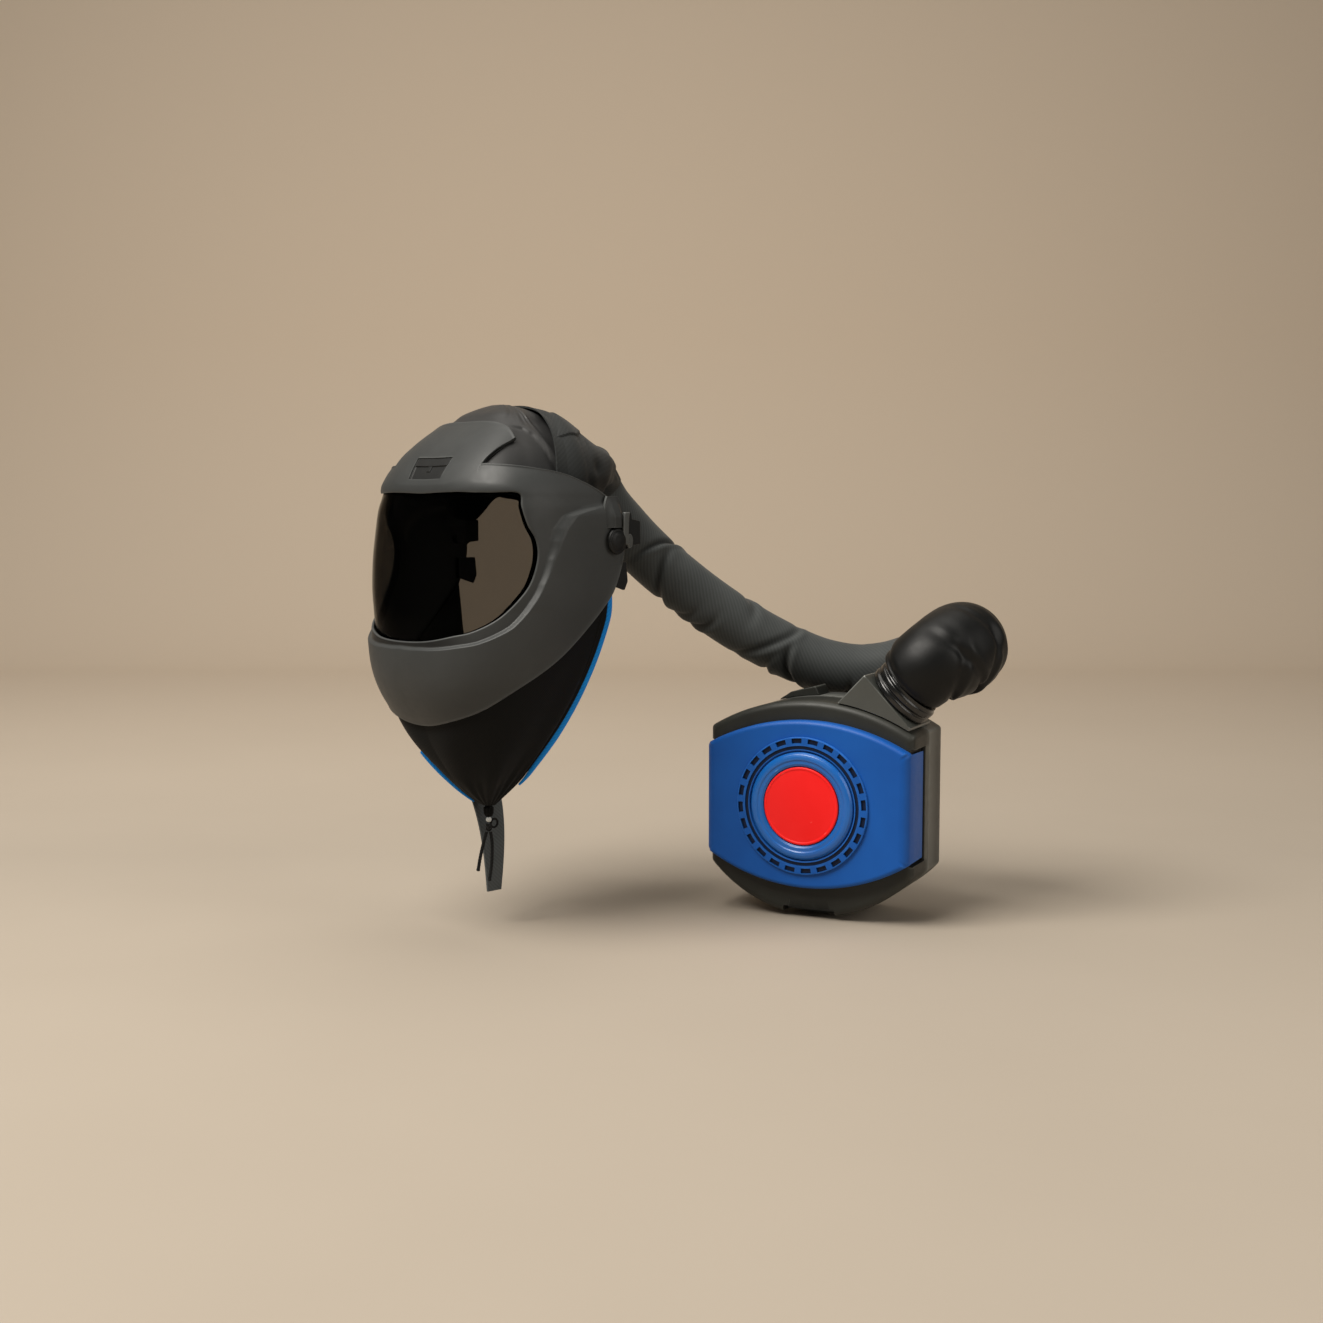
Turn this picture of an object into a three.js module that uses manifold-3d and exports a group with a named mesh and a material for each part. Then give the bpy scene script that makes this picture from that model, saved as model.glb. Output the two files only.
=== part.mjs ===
// A powered air-purifying respirator: a helmet with a clear visor and a drawn-in cloth cape, a
// cloth-covered breathing hose and a belt blower with a blue filter cover.
// Millimetres, +Z up. The helmet faces -Y, the wearer's left is +X, and the origin lies midway
// between the two temple pivots.
import * as THREE from 'three';
import { mergeVertices } from 'three/addons/utils/BufferGeometryUtils.js';
import Module from 'manifold-3d';

const wasm = await Module();
wasm.setup();

// Clearances and wall thicknesses
const GAP = 0.35;
const SHELL_WALL = 3;
const LENS_WALL = 2;
const SEAL_WALL = 2.5;
const DOME_WALL = 2.5;
const CLOTH_WALL = 1.8;

// Outer form of the helmet: level sections, each a squared ellipse about the line y = FORM.middle
const FORM = { middle: -35, back: 190, brow: 31, top: 117, frontBow: 1.5, sideBow: 1.65 };
const SQUARENESS = { chin: 2.6, brow: 3.2, from: -70, to: 20 };
const FORM_ROWS = [
  { z: -190, front: 84, half: 68 },
  { z: -178, front: 94, half: 76 },
  { z: -164, front: 105, half: 85 },
  { z: -145, front: 115, half: 94 },
  { z: -126, front: 120, half: 101 },
  { z: -102, front: 121, half: 106 },
  { z: -66, front: 119, half: 109.5 },
  { z: -30, front: 113.5, half: 111 },
  { z: 0, front: 107, half: 111.5 },
  { z: 20, front: 102, half: 111.5 },
  { z: 31, front: 99, half: 110.5 },
];
const HEAD = new THREE.Vector3(0, -50, 0);

// Outlines of the shell on the wearer's left, from the crown round the cheek to the chin. At each
// station: a point of the visor opening, a point of the shell's edge, the place of the cheek's ridge
// between them, how far the cheek stands proud, and whether the edge turns a corner there.
const STATIONS = [
  { open: [0, -133, 38.5], edge: [0, -78, 99.5], ridge: 0.3, raise: 0 },
  { open: [20, -132.5, 39], edge: [24, -77, 99], ridge: 0.3, raise: 0 },
  { open: [38, -131, 39], edge: [52, -74, 94.5], ridge: 0.3, raise: 0 },
  { open: [50, -129.5, 39], edge: [68, -77, 86], ridge: 0.3, raise: 0, corner: true },
  { open: [58, -127.5, 39], edge: [64.5, -98, 74.5], ridge: 0.3, raise: 0 },
  { open: [66, -125, 39], edge: [62.8, -113.5, 61], ridge: 0.3, raise: 0, corner: true },
  { open: [80, -120, 38.5], edge: [84.6, -101, 60], ridge: 0.3, raise: 0 },
  { open: [93, -110, 36.5], edge: [99, -80, 57], ridge: 0.4, raise: 0 },
  { open: [101, -101, 33], edge: [107, -45, 50], ridge: 0.6, raise: 0 },
  { open: [103.5, -101, 22], edge: [112.5, -5, 31], ridge: 0.8, raise: 1 },
  { open: [105.5, -96, 6], edge: [114, 6, 12], ridge: 0.38, raise: 4 },
  { open: [108.5, -88.5, -8], edge: [114.5, 10, -10], ridge: 0.2, raise: 5.5 },
  { open: [108.8, -87, -24], edge: [114, 10, -26], ridge: 0.15, raise: 5.5 },
  { open: [106, -93, -45], edge: [113.2, 0, -53], ridge: 0.13, raise: 5.5 },
  { open: [101.5, -105, -62], edge: [112.5, -15, -72], ridge: 0.13, raise: 5.5 },
  { open: [92, -119, -76.5], edge: [107.6, -54, -108], ridge: 0.15, raise: 5 },
  { open: [75, -136, -87.5], edge: [93, -94, -136.5], ridge: 0.15, raise: 4 },
  { open: [57, -147, -92], edge: [73, -116, -155], ridge: 0.13, raise: 3 },
  { open: [28, -154, -96], edge: [41.5, -131, -168], ridge: 0.1, raise: 2 },
  { open: [0, -156, -97.5], edge: [0, -132, -175], ridge: 0.09, raise: 1.5 },
];
const RIDGE_SPREAD = 0.05;
const STATION_STEPS = 2;
const CHEEK_STATION = 13;

// Visor, seal and brow socket
const LENS_INSET = SHELL_WALL + 2.1;
const LENS_LAP = 6;
const SEAL_GAP = 1;
const SEAL_LIP = 3;
const SEAL_LAP = 8;
const SOCKET = { y: -123, z: 56, width: 48, height: 24, inset: 1.5, wall: 1.5, ledge: 9, rib: 5 };

// Inner dome and cloth hood over the back of the crown
const DOME = { rim: 49, drop: 4.6, topDrop: 1, riseFrom: 96, riseTo: 108, back: 60, flat: 0.2 };
const DOME_INSET = { side: 10.5, front: 2.2 };
const DOME_SIDES = 40;
const DOME_LEVELS = [0, 0.18, 0.36, 0.53, 0.69, 0.82, 0.92, 0.98];
const HOOD_COLUMNS = 28;
const HOOD_STEPS = 15;
const HOOD_ROWS = [
  { y: -22, z: 46, half: 98, rise: 70, tilt: 0, reach: 92, sweep: 32 },
  { y: -6, z: 46, half: 98, rise: 65.5, tilt: 4, reach: 95, sweep: 14 },
  { y: 20, z: 46, half: 77, rise: 50, tilt: 20, reach: 106, sweep: 0 },
  { y: 48, z: 46, half: 55, rise: 42, tilt: 40, reach: 130, sweep: 0 },
  { y: 62, z: 46, half: 40, rise: 33, tilt: 52, reach: 163, sweep: 0 },
  { y: 75, z: 40, half: 28.5, rise: 28.5, tilt: 53, reach: 176, sweep: 0 },
];

// Temple pivots, latches and the tabs on the rear edge of the cheeks
const PIVOT = { y: -4, z: -9, half: 11, tall: 12, stand: 7, post: 5, tail: 6, lift: 1, root: 1, bevel: 2 };
const PIVOT_CUP = { half: 10, tall: 9, stand: 8, sink: 1.2, ahead: 1, bevel: 2.5 };
const LATCH = {
  y: 9, z: 0, arm: 6, tall: 34, tab: 11, tabTall: 21, tabDrop: 5, bow: 3, slope: 1,
  wall: 3.5, sink: 0.9, bevel: 1,
};
const REAR_TAB = {
  front: -6, back: 17, lower: -54, upper: -28, wall: 3.2, cut: 4, step: 6, depth: 2.8, bevel: 0.8,
};

// Cape, its trim and its drawstring
const CAPE_TIP = new THREE.Vector3(0, -58, -257);
const CAPE = {
  below: 0.9, inset: 0.9, ring: 5, leave: 0.08, drop: 0.32, gather: 0.41, lift: 0.2, wrap: 0.93,
};
const CAPE_FOLDS = { count: 7, depth: 2.6, room: 40, low: 1.5 };
const PIPING_RADIUS = 1.6;
const PIPING_COLUMN = 11;
const CAPE_COLUMNS = 36;
const CAPE_ROWS = 14;
const GATHER_PROFILE = [[0, 6], [2.8, 6], [2.8, -1], [4.6, -2.4], [4.2, -8], [2.6, -11], [0, -11]];
const BEAD_PROFILE = [[0, 2.3], [1.8, 2.3], [2.6, 0], [1.8, -2.3], [0, -2.3]];
const BEAD_DROP = 13.7;
const KNOT = { drop: 21, radius: 4.3, loop: 4, loopCord: 1.1, loopBack: 2.5, loopUp: 3 };
const STRING_RADIUS = 1.6;
const STRING_ENDS = {
  drawstring_end_a: [[-1, -60, -282.4], [-1.5, -63, -292], [-2.5, -66.5, -306], [-3, -69, -319]],
  drawstring_end_b: [[1.2, -57, -282.4], [2.2, -56, -294], [2.5, -57, -312], [2, -59.5, -329]],
};
const TAIL = { top: -238, bottom: -342, wall: 1.5, topX: -30.3, bottomX: -9 };
const TAIL_EDGES = { topFront: -62, topBack: -24, bottomFront: -53, bottomBack: -37 };

// Breathing hose: its route from the hood to the blower's elbow
const HOSE_RADIUS = 27;
const HOSE_SIDES = 12;
const HOSE_STEPS = 18;
const HOSE_ROUTE = [
  [0, 76.2, 38.4], [0.5, 91, 20.5], [2.5, 109, 4], [8, 127, -14], [18, 144, -32],
  [31, 161, -49.5], [46, 179, -68], [61, 197, -85], [76, 216, -101], [91, 236, -115.5],
  [107, 257.5, -129], [125, 280, -139.5], [147, 303, -144.5], [172, 320.5, -141],
  [197.5, 329, -132.5], [220.8, 328.6, -124.7],
];

// Belt blower, in a frame of its own: x across the front, -y to the front, z up
const BLOWER = { x: 177.7, y: 216.5, z: -261.2, turn: 20 };
const HOUSING = { half: 103, upper: 70, lower: -64, crown: 99, base: -110, front: -39, part: 10, back: 52 };
const HOUSING_BEVEL = 3;
const COVER = { half: 102.3, upper: 54, lower: -50, crown: 81, base: -80, front: -52, back: -39.5 };
const COVER_BEVEL = 4;
const TAB = { wall: 3, back: -5, upper: 53.5, lower: -49.5 };
const TAB_RECESS = { depth: 4, back: -1, upper: 57, lower: -53 };
const NOTCH = { half: 26, height: 9, depth: 22 };
const BELT_PAD = { width: 120, height: 90, z: -20, stand: 3 };
const RING = {
  x: -2, outer: 66, inner: 55.5, stand: 2.6, slots: 24, slotOuter: 63.6, slotInner: 58.4, open: 0.62,
};
const HUB_PROFILE = [[38, 0], [51.5, 0], [51.5, 2], [49, 4.4], [44, 5.2], [40, 4.4], [38, 3], [38, 0]];
const DISC_PROFILE = [[0, 0], [37.4, 0], [37.4, 3.2], [35.5, 4.2], [18, 4.9], [0, 5.1]];
const DUCT = { left: 26, right: 97, crest: [53, 126], mouth: [99, 77], front: -36, back: 30 };
const COUPLING_PROFILE = [
  [0, 0], [31, 0], [33.5, 2], [33.5, 6], [31.5, 8], [33.5, 10], [33.5, 14], [31.5, 16], [31.5, 19], [0, 19],
];
const ELBOW_ROWS = [
  { x: 90.7, y: -3, z: 115.3, radius: 31.5 },
  { x: 106.9, y: -3, z: 130.5, radius: 36.5 },
  { x: 120, y: 14, z: 141.5, radius: 42.5 },
  { x: 124.5, y: 38, z: 148.5, radius: 44 },
  { x: 118, y: 62, z: 149.5, radius: 40 },
  { x: 102, y: 80, z: 145, radius: 33.5 },
  { x: 80, y: 90, z: 137, radius: 28.5 },
];
const ELBOW_RINGS = 18;
const ELBOW_SIDES = 18;
const GUIDE = { left: -52, right: -10, front: 14, back: 44, height: 9 };

const vector = ([x, y, z]) => new THREE.Vector3(x, y, z);
const lerp = THREE.MathUtils.lerp;
const radians = THREE.MathUtils.degToRad;
const finish = (color, roughness, metalness = 0) =>
  new THREE.MeshStandardMaterial({ color, roughness, metalness });

const SHELL_PLASTIC = finish('#565857', 0.5);
const BLACK_PLASTIC = finish('#191a1a', 0.4);
const CLEAR_PLASTIC = finish('#cfd4d6', 0.05);
const RUBBER = finish('#141414', 0.7);
const BLACK_CLOTH = finish('#1d1e1d', 0.9);
const HOSE_CLOTH = finish('#2d2f2e', 0.85);
const BLUE_TAPE = finish('#0a7fd6', 0.6);
const GREY_WEBBING = finish('#55595a', 0.8);
const WHITE_PLASTIC = finish('#c9ccca', 0.4);
const HOUSING_PLASTIC = finish('#2f302e', 0.5);
const BACK_PLASTIC = finish('#4b4c49', 0.5);
const BLUE_PLASTIC = finish('#1f5aa8', 0.45);
const RED_PLASTIC = finish('#f52c2c', 0.4);

// A value that runs smoothly through a table's rows: cubic pieces with central slopes.
function through(rows, key, column, at) {
  const last = rows.length - 1;
  const x = THREE.MathUtils.clamp(at, rows[0][key], rows[last][key]);
  let i = 0;
  while (i < last - 1 && x > rows[i + 1][key]) i += 1;
  const slope = (n) => {
    const a = rows[Math.max(n - 1, 0)];
    const b = rows[Math.min(n + 1, last)];
    return (b[column] - a[column]) / (b[key] - a[key]);
  };
  const step = rows[i + 1][key] - rows[i][key];
  const t = (x - rows[i][key]) / step;
  const start = (2 * t ** 3 - 3 * t ** 2 + 1) * rows[i][column];
  const end = (3 * t ** 2 - 2 * t ** 3) * rows[i + 1][column];
  const lean = (t ** 3 - 2 * t ** 2 + t) * step * slope(i) + (t ** 3 - t ** 2) * step * slope(i + 1);
  return start + end + lean;
}

// The reach of the form to the front, side and back at a level; above the brow it closes to a dome.
function formSection(z) {
  const t = THREE.MathUtils.clamp((z - FORM.brow) / (FORM.top - FORM.brow), 0, 0.99999);
  const close = (bow) => (1 - t ** bow) ** (1 / bow);
  const s = THREE.MathUtils.clamp((z - SQUARENESS.from) / (SQUARENESS.to - SQUARENESS.from), 0, 1);
  return {
    front: through(FORM_ROWS, 'z', 'front', z) * close(FORM.frontBow),
    half: through(FORM_ROWS, 'z', 'half', z) * close(FORM.sideBow),
    back: FORM.back * close(FORM.sideBow),
    square: lerp(SQUARENESS.chin, SQUARENESS.brow, s),
  };
}

// Below zero inside the form, above zero outside it.
function formValue(p) {
  if (p.z >= FORM.top) return 1;
  const { front, half, back, square } = formSection(p.z);
  const y = p.y - FORM.middle;
  return (Math.abs(p.x) / half) ** square + (Math.abs(y) / (y < 0 ? front : back)) ** square - 1;
}

// Where the line from the middle of the head through a point meets the form.
function onForm(point) {
  const way = point.clone().sub(HEAD).normalize();
  let inside = 0;
  let outside = 400;
  for (let n = 0; n < 50; n += 1) {
    const middle = (inside + outside) / 2;
    if (formValue(HEAD.clone().addScaledVector(way, middle)) < 0) inside = middle;
    else outside = middle;
  }
  return HEAD.clone().addScaledVector(way, inside);
}

function formNormal(p) {
  const reach = 0.05;
  const slope = ['x', 'y', 'z'].map((axis) => {
    const ahead = p.clone();
    const behind = p.clone();
    ahead[axis] += reach;
    behind[axis] -= reach;
    return formValue(ahead) - formValue(behind);
  });
  return vector(slope).normalize();
}

// The form's point in the direction of a given point, moved along its normal.
function raised(point, distance) {
  const base = onForm(point);
  return base.addScaledVector(formNormal(base), distance);
}

// A point part of the way along the arc between two points of the form, seen from the head's middle.
function between(from, to, share) {
  const a = from.clone().sub(HEAD).normalize();
  const b = to.clone().sub(HEAD).normalize();
  const angle = a.angleTo(b);
  const way = a.multiplyScalar(Math.sin((1 - share) * angle)).addScaledVector(b, Math.sin(share * angle));
  return HEAD.clone().add(way);
}

// A station's value at a real-numbered place, on a smooth curve that breaks only at its corners.
function station(place) {
  const last = STATIONS.length - 1;
  const i = Math.min(Math.floor(place), last - 1);
  const t = place - i;
  const mix = (column, breaks) => {
    const at = (n) => {
      if (n < 0) return mirrored(vector(STATIONS[1][column]));
      if (n > last) return mirrored(vector(STATIONS[last - 1][column]));
      return vector(STATIONS[n][column]);
    };
    const start = at(i);
    const end = at(i + 1);
    const before = breaks && STATIONS[i].corner ? start : at(i - 1);
    const after = breaks && STATIONS[i + 1].corner ? end : at(i + 2);
    return new THREE.CatmullRomCurve3([before, start, end, after], false, 'catmullrom')
      .getPoint((1 + t) / 3);
  };
  const plain = (column) => lerp(STATIONS[i][column], STATIONS[i + 1][column], t);
  return { open: mix('open', false), edge: mix('edge', true), ridge: plain('ridge'), raise: plain('raise') };
}

function mirrored(p) {
  return new THREE.Vector3(-p.x, p.y, p.z);
}

// Every station round the whole shell, down the wearer's left and back up the right.
function stationLoop() {
  const count = (STATIONS.length - 1) * STATION_STEPS;
  const left = Array.from({ length: count + 1 }, (_, n) => station(n / STATION_STEPS));
  const flip = (s) => ({ ...s, open: mirrored(s.open), edge: mirrored(s.edge) });
  return [...left, ...left.slice(1, -1).reverse().map(flip)];
}

// A closed body from points and triangles, turned so that its faces point out.
function body(points, faces) {
  let volume = 0;
  for (let n = 0; n < faces.length; n += 3) {
    const [a, b, c] = faces.slice(n, n + 3).map((index) => points[index]);
    volume += a.dot(new THREE.Vector3().crossVectors(b, c));
  }
  const geometry = new THREE.BufferGeometry().setFromPoints(points);
  geometry.setIndex(volume < 0 ? faces.slice().reverse() : faces);
  return geometry;
}

// A wall between two grids of points: both faces, and the strips that join their borders.
function wallBody(front, back, loops = false) {
  const rows = front.length;
  const columns = front[0].length;
  const at = (side, i, j) => (side * rows + (i % rows)) * columns + j;
  const faces = [];
  const quad = (a, b, c, d) => faces.push(a, b, c, a, c, d);
  const last = loops ? rows : rows - 1;
  for (let i = 0; i < last; i += 1) {
    for (let j = 0; j < columns - 1; j += 1) {
      quad(at(0, i, j), at(0, i + 1, j), at(0, i + 1, j + 1), at(0, i, j + 1));
      quad(at(1, i, j), at(1, i, j + 1), at(1, i + 1, j + 1), at(1, i + 1, j));
    }
    quad(at(0, i + 1, 0), at(0, i, 0), at(1, i, 0), at(1, i + 1, 0));
    quad(at(0, i, columns - 1), at(0, i + 1, columns - 1), at(1, i + 1, columns - 1), at(1, i, columns - 1));
  }
  for (let j = 0; !loops && j < columns - 1; j += 1) {
    quad(at(0, 0, j), at(0, 0, j + 1), at(1, 0, j + 1), at(1, 0, j));
    quad(at(0, last, j + 1), at(0, last, j), at(1, last, j), at(1, last, j + 1));
  }
  return body([...front.flat(), ...back.flat()], faces);
}

// A body from a stack of rings, closed at both ends by a point.
function ringBody(rings, first, last) {
  const sides = rings[0].length;
  const at = (ring, n) => ring * sides + (n % sides);
  const start = rings.length * sides;
  const faces = [];
  for (let n = 0; n < sides; n += 1) {
    for (let r = 0; r < rings.length - 1; r += 1) {
      faces.push(at(r, n), at(r, n + 1), at(r + 1, n + 1), at(r, n), at(r + 1, n + 1), at(r + 1, n));
    }
    faces.push(start, at(0, n + 1), at(0, n));
    faces.push(start + 1, at(rings.length - 1, n), at(rings.length - 1, n + 1));
  }
  return body([...rings.flat(), first, last], faces);
}

// The grid moved along its own normals, which come from neighbouring points.
function offsetGrid(grid, distance) {
  return grid.map((row, i) => row.map((point, j) => {
    const above = grid[Math.max(i - 1, 0)][j];
    const below = grid[Math.min(i + 1, grid.length - 1)][j];
    const left = row[Math.max(j - 1, 0)];
    const right = row[Math.min(j + 1, row.length - 1)];
    const normal = below.clone().sub(above).cross(right.clone().sub(left)).normalize();
    return point.clone().addScaledVector(normal, distance);
  }));
}

// Boolean joins and cuts on closed geometry
function solid(geometry) {
  const bare = geometry.clone();
  bare.deleteAttribute('normal');
  bare.deleteAttribute('uv');
  const merged = mergeVertices(bare, 1e-4);
  return new wasm.Manifold(new wasm.Mesh({
    numProp: 3,
    vertProperties: merged.attributes.position.array,
    triVerts: new Uint32Array(merged.index.array),
  }));
}

function geometryOf(manifold) {
  const { vertProperties, triVerts } = manifold.getMesh();
  const geometry = new THREE.BufferGeometry();
  geometry.setAttribute('position', new THREE.BufferAttribute(vertProperties, 3));
  geometry.setIndex(new THREE.BufferAttribute(triVerts, 1));
  return geometry;
}

const cut = (geometry, ...tools) =>
  geometryOf(tools.reduce((left, tool) => left.subtract(solid(tool)), solid(geometry)));
const join = (...pieces) => geometryOf(pieces.map(solid).reduce((whole, piece) => whole.add(piece)));

// A box between two corners.
function block([x0, y0, z0], [x1, y1, z1]) {
  const box = new THREE.BoxGeometry(x1 - x0, y1 - y0, z1 - z0);
  return box.translate((x0 + x1) / 2, (y0 + y1) / 2, (z0 + z1) / 2);
}

// An outline in x and z, extruded from the front y0 to the back y1, with bevelled edges.
function slab(shape, y0, y1, bevel = 0) {
  const geometry = new THREE.ExtrudeGeometry(shape, {
    depth: y1 - y0 - 2 * bevel,
    bevelEnabled: bevel > 0,
    bevelThickness: bevel,
    bevelSize: bevel,
    bevelOffset: -bevel,
    bevelSegments: 2,
    curveSegments: 9,
  });
  return geometry.rotateX(Math.PI / 2).translate(0, y1 - bevel, 0);
}

// An outline in y and z, extruded along x.
function sidePlate(shape, x0, x1, bevel) {
  const geometry = new THREE.ExtrudeGeometry(shape, {
    depth: x1 - x0 - 2 * bevel,
    bevelThickness: bevel,
    bevelSize: bevel,
    bevelOffset: -bevel,
    bevelSegments: 2,
    curveSegments: 6,
  });
  const turn = new THREE.Matrix4().makeBasis(
    new THREE.Vector3(0, 1, 0),
    new THREE.Vector3(0, 0, 1),
    new THREE.Vector3(1, 0, 0),
  );
  return geometry.translate(0, 0, bevel).applyMatrix4(turn).translate(x0, 0, 0);
}

// A round bar along a route.
function bar(route, radius, sides, steps) {
  const section = Array.from({ length: sides }, (_, n) => {
    const angle = (2 * Math.PI * n) / sides;
    return new THREE.Vector2(radius * Math.cos(angle), radius * Math.sin(angle));
  });
  const extrudePath = new THREE.CatmullRomCurve3(route, false, 'centripetal');
  return new THREE.ExtrudeGeometry(new THREE.Shape(section), { steps, extrudePath });
}

const lathe = (profile, segments) =>
  new THREE.LatheGeometry(profile.map(([r, h]) => new THREE.Vector2(r, h)), segments);

function ellipse(y, z, half, tall) {
  return new THREE.Shape().absellipse(y, z, half, tall, 0, 2 * Math.PI);
}

function named(name, geometry, material) {
  const mesh = new THREE.Mesh(geometry, material);
  mesh.name = name;
  return mesh;
}

// The shell's wall: from the visor opening over the cheek's ridge to the outer edge.
function shellWall() {
  const outer = [];
  const inner = [];
  for (const { open, edge, ridge, raise } of stationLoop()) {
    const near = ridge - RIDGE_SPREAD;
    const far = ridge + RIDGE_SPREAD;
    const slope = [[0, 0], [near, 0], [ridge, 0.5], [far, 1]];
    const field = [0.2, 0.4, 0.6, 0.8, 1].map((share) => [lerp(far, 1, share), 1]);
    const across = [...slope, ...field].map(([share, proud]) => [between(open, edge, share), proud * raise]);
    outer.push(across.map(([point, proud]) => raised(point, proud)));
    inner.push(across.map(([point, proud]) => raised(point, proud - SHELL_WALL)));
  }
  return wallBody(outer, inner, true);
}

// The frame of the brow socket: its middle on the brow, with x across, y up the brow and z out of it.
function socketFrame() {
  const middle = onForm(new THREE.Vector3(0, SOCKET.y, SOCKET.z));
  const out = formNormal(middle);
  const up = out.clone().cross(new THREE.Vector3(1, 0, 0));
  return new THREE.Matrix4().makeBasis(new THREE.Vector3(1, 0, 0), up, out).setPosition(middle);
}

function pivotFace() {
  return raised(vector([FORM_ROWS[8].half, PIVOT.y, PIVOT.z]), STATIONS[CHEEK_STATION].raise).x;
}

function helmetShell() {
  const { width, height } = SOCKET;
  const window = block([-width / 2, -height / 2, -8], [width / 2, height / 2, 8]).applyMatrix4(socketFrame());
  const hole = new THREE.CylinderGeometry(PIVOT.post + GAP, PIVOT.post + GAP, 300, 16);
  hole.rotateZ(Math.PI / 2).translate(0, PIVOT.y, PIVOT.z);
  return named('helmet_shell', cut(shellWall(), window, hole), SHELL_PLASTIC);
}

// The socket: a floor plate with a raised upper ledge and a short middle rib.
function browSocket() {
  const { inset, wall, ledge, rib } = SOCKET;
  const half = SOCKET.width / 2 - GAP;
  const tall = SOCKET.height / 2 - GAP;
  const floor = block([-half, -tall, -inset - wall], [half, tall, -inset]);
  const shelf = block([-half, tall - ledge, -inset - 1], [half, tall, -0.3]);
  const middle = block([-rib / 2, -1, -inset - 1], [rib / 2, tall - ledge + 1, -0.9]);
  return named('brow_socket', join(floor, shelf, middle).applyMatrix4(socketFrame()), BLACK_PLASTIC);
}

// A ring of points round the visor opening, moved outward along the form and inward from it.
function openingRing(lap, inset) {
  return stationLoop().map(({ open, edge }) => {
    const share = lap / onForm(open).distanceTo(onForm(edge));
    return raised(between(open, edge, share), -inset);
  });
}

function visorLens() {
  const middle = new THREE.Vector3(0, -140, -28);
  const rim = openingRing(LENS_LAP, 0);
  const ring = (share, inset) => rim.map((point) => raised(between(middle, point, share), -inset));
  const shares = [0.25, 0.5, 0.75, 0.9, 1];
  const sink = (share) => LENS_INSET * share ** 3;
  const front = shares.map((share) => ring(share, sink(share)));
  const back = shares.map((share) => ring(share, sink(share) + LENS_WALL)).reverse();
  const first = raised(middle, 0);
  const last = raised(middle, -LENS_WALL);
  return named('visor_lens', ringBody([...front, ...back], first, last), CLEAR_PLASTIC);
}

function visorSeal() {
  const front = LENS_INSET + LENS_WALL + SEAL_GAP;
  const laps = [-SEAL_LIP, SEAL_LAP / 2, SEAL_LAP];
  const face = (inset) => {
    const rings = laps.map((lap) => openingRing(lap, inset));
    return rings[0].map((_, n) => rings.map((ring) => ring[n]));
  };
  return named('visor_seal', wallBody(face(front), face(front + SEAL_WALL), true), RUBBER);
}

// A ring of the inner dome at a level, drawn in from the form and cut short at the back.
function domeRing(z, wall) {
  const rise = THREE.MathUtils.smoothstep(z, DOME.riseFrom, DOME.riseTo);
  const { front, half, square } = formSection(z + lerp(DOME.drop, DOME.topDrop, rise) + wall);
  const brow = formSection(DOME.rim);
  const size = half / brow.half;
  const ahead = -(front - (DOME_INSET.front + wall) * size);
  const behind = (DOME.back - wall) * size;
  return Array.from({ length: DOME_SIDES }, (_, n) => {
    const angle = (2 * Math.PI * n) / DOME_SIDES;
    const side = Math.abs(Math.sin(angle)) ** (2 / square) * Math.sign(Math.sin(angle));
    const along = Math.abs(Math.cos(angle)) ** (2 / square);
    const x = side * (half - (DOME_INSET.side + wall) * size);
    const reach = Math.cos(angle) > 0 ? ahead : behind;
    return new THREE.Vector3(x, FORM.middle + along * reach, z);
  });
}

function crownDome() {
  const top = FORM.top - DOME.topDrop;
  const levels = (wall) => DOME_LEVELS.map((share) => domeRing(lerp(DOME.rim, top - wall, share), wall));
  const rings = [...levels(0).reverse(), ...levels(DOME_WALL)];
  const first = new THREE.Vector3(0, FORM.middle, top - DOME.flat);
  const last = new THREE.Vector3(0, FORM.middle, top - DOME_WALL - DOME.flat);
  return named('crown_dome', ringBody(rings, first, last), BLACK_PLASTIC);
}

// The hood: arches that start wide over the crown and close to a ring round the hose.
function crownHood() {
  const rows = HOOD_ROWS.map((row, n) => ({ ...row, n }));
  const arch = (n) => {
    const at = (column) => through(rows, 'n', column, n);
    const tilt = radians(at('tilt'));
    const up = new THREE.Vector3(0, Math.sin(tilt), Math.cos(tilt));
    return Array.from({ length: HOOD_COLUMNS + 1 }, (_, k) => {
      const angle = radians(at('reach')) * ((2 * k) / HOOD_COLUMNS - 1);
      const y = at('y') - at('sweep') * Math.sin(angle) ** 2;
      const point = new THREE.Vector3(at('half') * Math.sin(angle), y, at('z'));
      return point.addScaledVector(up, at('rise') * Math.cos(angle));
    });
  };
  const outer = Array.from({ length: HOOD_STEPS + 1 }, (_, k) => arch((k / HOOD_STEPS) * (rows.length - 1)));
  return named('crown_hood', wallBody(outer, offsetGrid(outer, CLOTH_WALL)), HOSE_CLOTH);
}

// The latch behind a knob: a bowed arm with a square tab at its rear.
function latchPlate(face) {
  const { y, z, arm, tall, tab, tabTall, tabDrop, bow, slope, wall } = LATCH;
  const top = z + tall / 2;
  const bottom = z - tall / 2;
  const shape = new THREE.Shape();
  shape.moveTo(y, top);
  shape.quadraticCurveTo(y - bow, z, y, bottom);
  shape.lineTo(y + arm, bottom + tabDrop - slope);
  shape.lineTo(y + arm + tab, bottom + tabDrop);
  shape.lineTo(y + arm + tab, bottom + tabDrop + tabTall);
  shape.lineTo(y + arm, bottom + tabDrop + tabTall + 2 * slope);
  shape.lineTo(y + arm - slope, top);
  return sidePlate(shape, face - LATCH.sink, face - LATCH.sink + wall, LATCH.bevel);
}

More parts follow.
